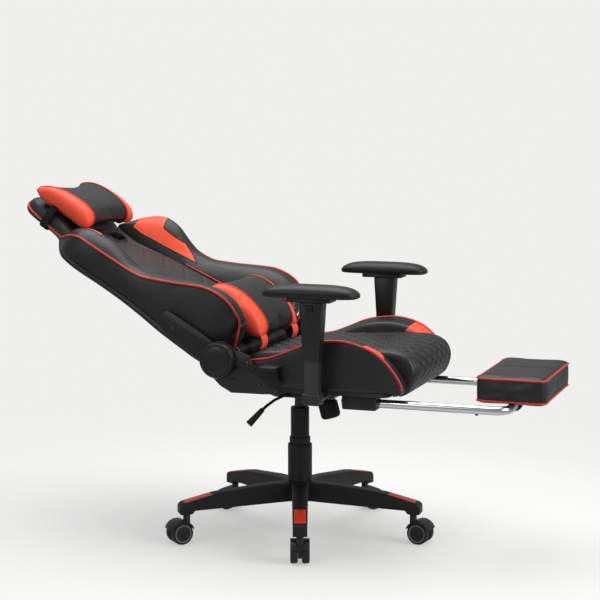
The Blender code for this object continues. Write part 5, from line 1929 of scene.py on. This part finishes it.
# ======== arms
@dataclass
class Arms:
    """Height-adjustable arms: steel bar, sleeve, catch and soft pad."""

    power: float = 3.6
    bar_edge: float = 0.0010
    sleeve_edge: float = 0.0014
    button_edge: float = 0.0007
    end_fall: float = 0.011

    # Rings of the pad from its underside up: how far each is drawn in, and its share of the height.
    RINGS = ((0.026, 0.0), (0.012, 0.0), (0.0055, 0.02), (0.0022, 0.07), (0.0005, 0.16),
             (0.0, 0.27), (0.0002, 0.36), (0.0012, 0.378), (0.0012, 0.392), (0.0002, 0.41),
             (0.0008, 0.50), (0.0025, 0.61), (0.0055, 0.72), (0.0098, 0.82), (0.0152, 0.895),
             (0.0215, 0.945), (0.029, 0.975), (0.036, 0.99), (0.0405, 0.996))

    def build(self) -> None:
        """Make both arms."""
        for word in SIDES:
            button = f"arm_button_{word}"
            for node, name, finish, body, slot, edge in (
                    (f"arm_bracket_{word}", f"arm_bar_{word}", "steel", "seat", Slot.STEEL,
                     self.bar_edge),
                    (f"arm_sleeve_{word}", f"arm_tube_{word}", "cap", f"arm_{word}", Slot.NYLON,
                     self.sleeve_edge),
                    (button, f"arm_catch_{word}", "nylon", button, Slot.NYLON,
                     self.button_edge)):
                settled(refined(node, name, edge), finish, body, slot, node)
            self.build_pad(word)
            self.build_screws(word)

    def build_pad(self, word: str) -> None:
        """One pad, crowned both ways, with a parting line round its side.

        Args:
            word: "right" or "left".
        """
        low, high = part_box(f"arm_pad_{word}")
        middle = (low + high) / 2
        half_x, half_y, tall = (high.x - low.x) / 2, (high.y - low.y) / 2, high.z - low.z
        turn = np.linspace(0, FULL_TURN, 180, endpoint=False)
        plan = np.stack([np.sign(np.cos(turn)) * np.abs(np.cos(turn)) ** (2 / self.power),
                         np.sign(np.sin(turn)) * np.abs(np.sin(turn)) ** (2 / (self.power + 0.6))],
                        axis=1)
        rings = []
        for inset, level in self.RINGS:
            ring = plan * (half_x - inset, half_y - inset)
            fall = self.end_fall * np.abs(ring[:, 1] / half_y) ** 3.2
            rings.append(np.stack([ring[:, 0] + middle.x, ring[:, 1] + middle.y,
                                   low.z + level * (tall - fall)], axis=1))
        piece = loft(f"arm_cushion_{word}", np.array(rings))
        settled(piece, "foam", f"arm_{word}", Slot.FOAM, f"arm_pad_{word}")

    def build_screws(self, word: str) -> None:
        """Two screws under the pad's plate."""
        middle, flange = box_middle(f"arm_sleeve_{word}"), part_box(f"arm_sleeve_{word}")[1].z - 0.010
        places = [(Vector((middle.x, middle.y + y, flange)), DOWN) for y in (-0.045, 0.045)]
        settled(screws(f"arm_plate_screws_{word}", places, 0.0045, 0.0022), None, f"arm_{word}",
                Slot.STEEL)


# ======== footrest
@dataclass
class Footrest:
    """Chromed U of tube, its guides and the folding foot pad."""

    radius: float = 0.011
    bend: float = 0.035
    lug_at: float = 0.090
    lug_half: float = 0.010
    lug_wall: float = 0.0052
    guide_edge: float = 0.0012
    cord: float = 0.0028
    pad_corner: float = 0.018
    slimmer: float = 0.003
    voxel: float = 0.0045
    cap: float = 0.0030
    fill: float = 0.85

    def build(self) -> None:
        """Make every piece of the footrest."""
        low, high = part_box("footrest_frame")
        across, level = high.x - self.radius, high.z - self.radius
        front, rear = low.y + self.radius, high.y
        self.bar = Vector((0, front, level))
        bend = [(across - self.bend * (1 - math.sin(a)), front + self.bend * (1 - math.cos(a)))
                for a in np.linspace(math.pi / 2, 0, 17)]
        half = [(across, rear), (across, front + self.bend + 0.02)] + bend
        route = [(x, y, level) for x, y in half] + [(-x, y, level) for x, y in half[::-1]]
        tube = piping("footrest_tube", wire("footrest_tube", [route]), self.radius, "chrome", 40)
        settled(tube, None, "footrest", Slot.CHROME, "footrest_frame")
        for word, side in SIDES.items():
            node = f"footrest_guide_{word}"
            settled(refined(node, f"rail_guide_{word}", self.guide_edge), "cap", "seat",
                    Slot.NYLON, node)
            bolts = [(Vector((side * across, front + 0.075, level - self.radius + 0.0006)), DOWN)]
            settled(screws(f"rail_stop_{word}", bolts, 0.0042, 0.0040), None, "footrest",
                    Slot.STEEL)
        self.build_pad()

    def build_pad(self) -> None:
        """Blown-up pad with a cord round its top and bottom edges."""
        low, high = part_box("footrest_pad")
        floor = self.bar.z + self.radius - 0.0018
        middle = Vector(((low.x + high.x) / 2, (low.y + high.y) / 2, (floor + high.z) / 2))
        half_x = (high.x - low.x) / 2 - self.slimmer
        half_y = (high.y - low.y) / 2 - self.slimmer
        rings = []
        for inset, z in ((0.030, floor + 0.0005), (0.006, floor + 0.0005), (0.0012, floor + 0.002),
                         (0.0, floor + 0.006), (-0.0005, middle.z), (0.0, high.z - 0.002),
                         (0.0012, high.z + 0.002), (0.006, high.z + 0.0035),
                         (0.030, high.z + 0.004)):
            ring = rounded_rectangle(half_x - inset, half_y - inset, self.pad_corner, 6)
            rings.append(levelled(spaced(ring, 180, closed=True) + (middle.x, middle.y), z))
        piece = inflated(loft("foot_pad_leather", np.array(rings)), self.voxel, self.cap)
        points = vertex_array(piece)
        points[:, 2] = np.clip(points[:, 2], floor, high.z + 0.008)
        set_vertices(piece, points)
        settled(piece, "leather", "footrest_pad", Slot.LEATHER, "footrest_pad")
        wider = rounded_rectangle(half_x + 0.006, half_y + 0.006, 0.024, 8)
        for word, z in (("top", high.z + 0.0005), ("foot", floor + 0.0035)):
            path = [Vector((x + middle.x, y + middle.y, z)) for x, y in spaced(wider, 150, True)]
            corded(f"foot_pad_cord_{word}", wire("cord", [laid_on(path, piece, 0.0008)], True),
                   self.cord, "footrest_pad")
        seam = [Vector((middle.x + 0.001, y, high.z + 0.01))
                for y in np.arange(low.y + 0.012, high.y - 0.011, 0.006)]
        sewn("foot_pad_threads", [laid_on(seam, piece, THREAD_LIFT)], "footrest_pad", 0.0066)
        self.build_lugs()

    def build_lugs(self) -> None:
        """Two lugs round the crossbar, on which the foot pad folds."""
        half, inner, outer = self.lug_half, self.radius + 0.0004, self.radius + self.lug_wall
        profile = [(inner, -half), (outer - 0.0008, -half), (outer, -half + 0.0008),
                   (outer, half - 0.0008), (outer - 0.0008, half), (inner, half)]
        for word, side in SIDES.items():
            place = Matrix.Translation((side * self.lug_at, self.bar.y, self.bar.z))
            lug = turned(f"foot_pad_lug_{word}", profile,
                         place @ Matrix.Rotation(math.pi / 2, 4, "Y"), 48)
            settled(lug, "cap", "footrest_pad", Slot.NYLON)


# ======== studio
@dataclass
class Studio:
    """Pale room: camera, soft lights and a floor that fades out."""

    camera_at: tuple[float, float, float] = (-4.0003, -1.4799, 1.1508)
    bearing: float = 0.346
    pitch: float = 0.1196
    lens: float = 95.6
    backdrop: Colour = (0.862, 0.866, 0.852)
    room: Colour = (0.36, 0.365, 0.37)
    floor_tone: Colour = (0.84, 0.84, 0.83)
    floor_radius: float = 2.4
    fade_from: float = 0.55
    fade_to: float = 1.9
    floor_clear: float = 0.48

    # Name, place, what it points at, size and power of each soft light.
    LIGHTS = (("overhead", (0.3, 0.3, 3.1), (0.0, 0.0, 0.4), 3.2, 92.0),
              ("front", (-0.6, -3.6, 2.1), (0.0, 0.0, 0.5), 2.4, 96.0),
              ("side", (-3.4, 1.4, 2.2), (0.0, 0.1, 0.5), 2.0, 22.0))

    def build(self) -> None:
        """Set up the room."""
        self.build_camera()
        self.build_world()
        self.build_lights()
        self.build_floor()

    def build_camera(self) -> None:
        """Long lens, low and from the sitter's right."""
        camera = linked("camera", bpy.data.cameras.new("camera"))
        camera.data.lens = self.lens
        camera.data.sensor_width = 36.0
        camera.location = self.camera_at
        flat = math.cos(self.pitch)
        way = Vector((math.cos(self.bearing) * flat, math.sin(self.bearing) * flat,
                      -math.sin(self.pitch)))
        camera.rotation_euler = way.to_track_quat("-Z", "Y").to_euler()
        bpy.context.scene.camera = camera

    def build_world(self) -> None:
        """Plain pale backdrop that lights the chair only softly."""
        world = bpy.data.worlds.new("room")
        world.use_nodes = True
        tree = world.node_tree
        tree.nodes.clear()
        graph = Graph(tree)
        seen = graph.add("ShaderNodeBackground", {}, {"Color": (*self.backdrop, 1.0)})
        lit = graph.add("ShaderNodeBackground", {}, {"Color": (*self.room, 1.0)})
        direct = graph.add("ShaderNodeLightPath", output="Is Camera Ray")
        mixed = graph.add("ShaderNodeMixShader", {}, {0: direct, 1: lit, 2: seen})
        end = tree.nodes.new("ShaderNodeOutputWorld")
        tree.links.new(mixed.socket, end.inputs["Surface"])
        bpy.context.scene.world = world
        bpy.context.scene.view_settings.view_transform = "Standard"

    def build_lights(self) -> None:
        """Overhead softbox, light from the front and a weak fill from the side."""
        for name, place, aim, size, power in self.LIGHTS:
            light = bpy.data.lights.new(name, "AREA")
            light.shape = "DISK"
            light.size = size
            light.energy = power
            lamp = linked(name, light)
            lamp.location = place
            lamp.rotation_euler = (Vector(aim) - Vector(place)).to_track_quat("-Z", "Y").to_euler()

    def build_floor(self) -> None:
        """Pale floor whose edge fades into the backdrop."""
        surface = Surface("studio floor")
        apart = surface.add("ShaderNodeVectorMath", {"operation": "LENGTH"}, {0: surface.place},
                            "Value")
        share = surface.add("ShaderNodeMapRange", {"interpolation_type": "SMOOTHSTEP"}, {
            "Value": apart, "From Min": self.fade_from, "From Max": self.fade_to,
            "To Min": self.floor_clear})
        shader = surface.add("ShaderNodeBsdfPrincipled", {}, {
            "Base Color": (*self.floor_tone, 1.0), "Roughness": 0.7, "Specular IOR Level": 0.2})
        clear = surface.add("ShaderNodeBsdfTransparent")
        mixed = surface.add("ShaderNodeMixShader", {}, {0: share, 1: shader, 2: clear})
        end = surface.tree.nodes.new("ShaderNodeOutputMaterial")
        surface.tree.links.new(mixed.socket, end.inputs["Surface"])
        turn = np.linspace(0, FULL_TURN, 96, endpoint=False)
        points = [(self.floor_radius * math.cos(a), self.floor_radius * math.sin(a), -0.0005)
                  for a in turn]
        floor = new_object("studio_floor", points, [], [tuple(range(96))])
        floor.data.materials.append(surface.material)


# Side views of the pillows in the back's frame, as (up along the back, forward of it).
HEAD_OUTLINE = (
    (0.556, 0.009), (0.620, 0.009), (0.700, 0.009), (0.728, 0.014), (0.735, 0.024), (0.722, 0.038),
    (0.690, 0.056), (0.650, 0.066), (0.600, 0.068), (0.560, 0.060), (0.539, 0.040), (0.540, 0.020))
LUMBAR_OUTLINE = (
    (0.000, 0.0515), (0.050, 0.0515), (0.100, 0.0515), (0.150, 0.060), (0.165, 0.084),
    (0.152, 0.114), (0.112, 0.129), (0.058, 0.126), (0.012, 0.110), (-0.020, 0.089),
    (-0.034, 0.066))


def main() -> None:
    """Build the chair's looks and its room."""
    logging.basicConfig(level=logging.INFO, format="%(name)s: %(message)s")
    for key, finish in FINISHES.items():
        MATERIALS[key] = finish.make()
    head = HeadPillow("head_pillow", HEAD_OUTLINE, half_length=0.1465, panel_edge=0.1125,
                      panel_lean=0.0120, slimmer=(1.0, 0.90),
                      floor=((0.50, 0.0088), (0.76, 0.0088)), pull=0.009)
    lumbar = LumbarPillow("lumbar_pillow", LUMBAR_OUTLINE, half_length=0.1465, panel_edge=0.106,
                          panel_lean=0.0130, slimmer=(1.0, 0.92),
                          floor=((-0.05, 0.0512), (0.11, 0.0512), (0.17, 0.045)))
    for part in (RollingBase(), Mechanism(), Seat(), Recliner(), Backrest(), head, lumbar, Arms(),
                 Footrest(), Studio()):
        part.build()


if __name__ == "__main__":
    main()
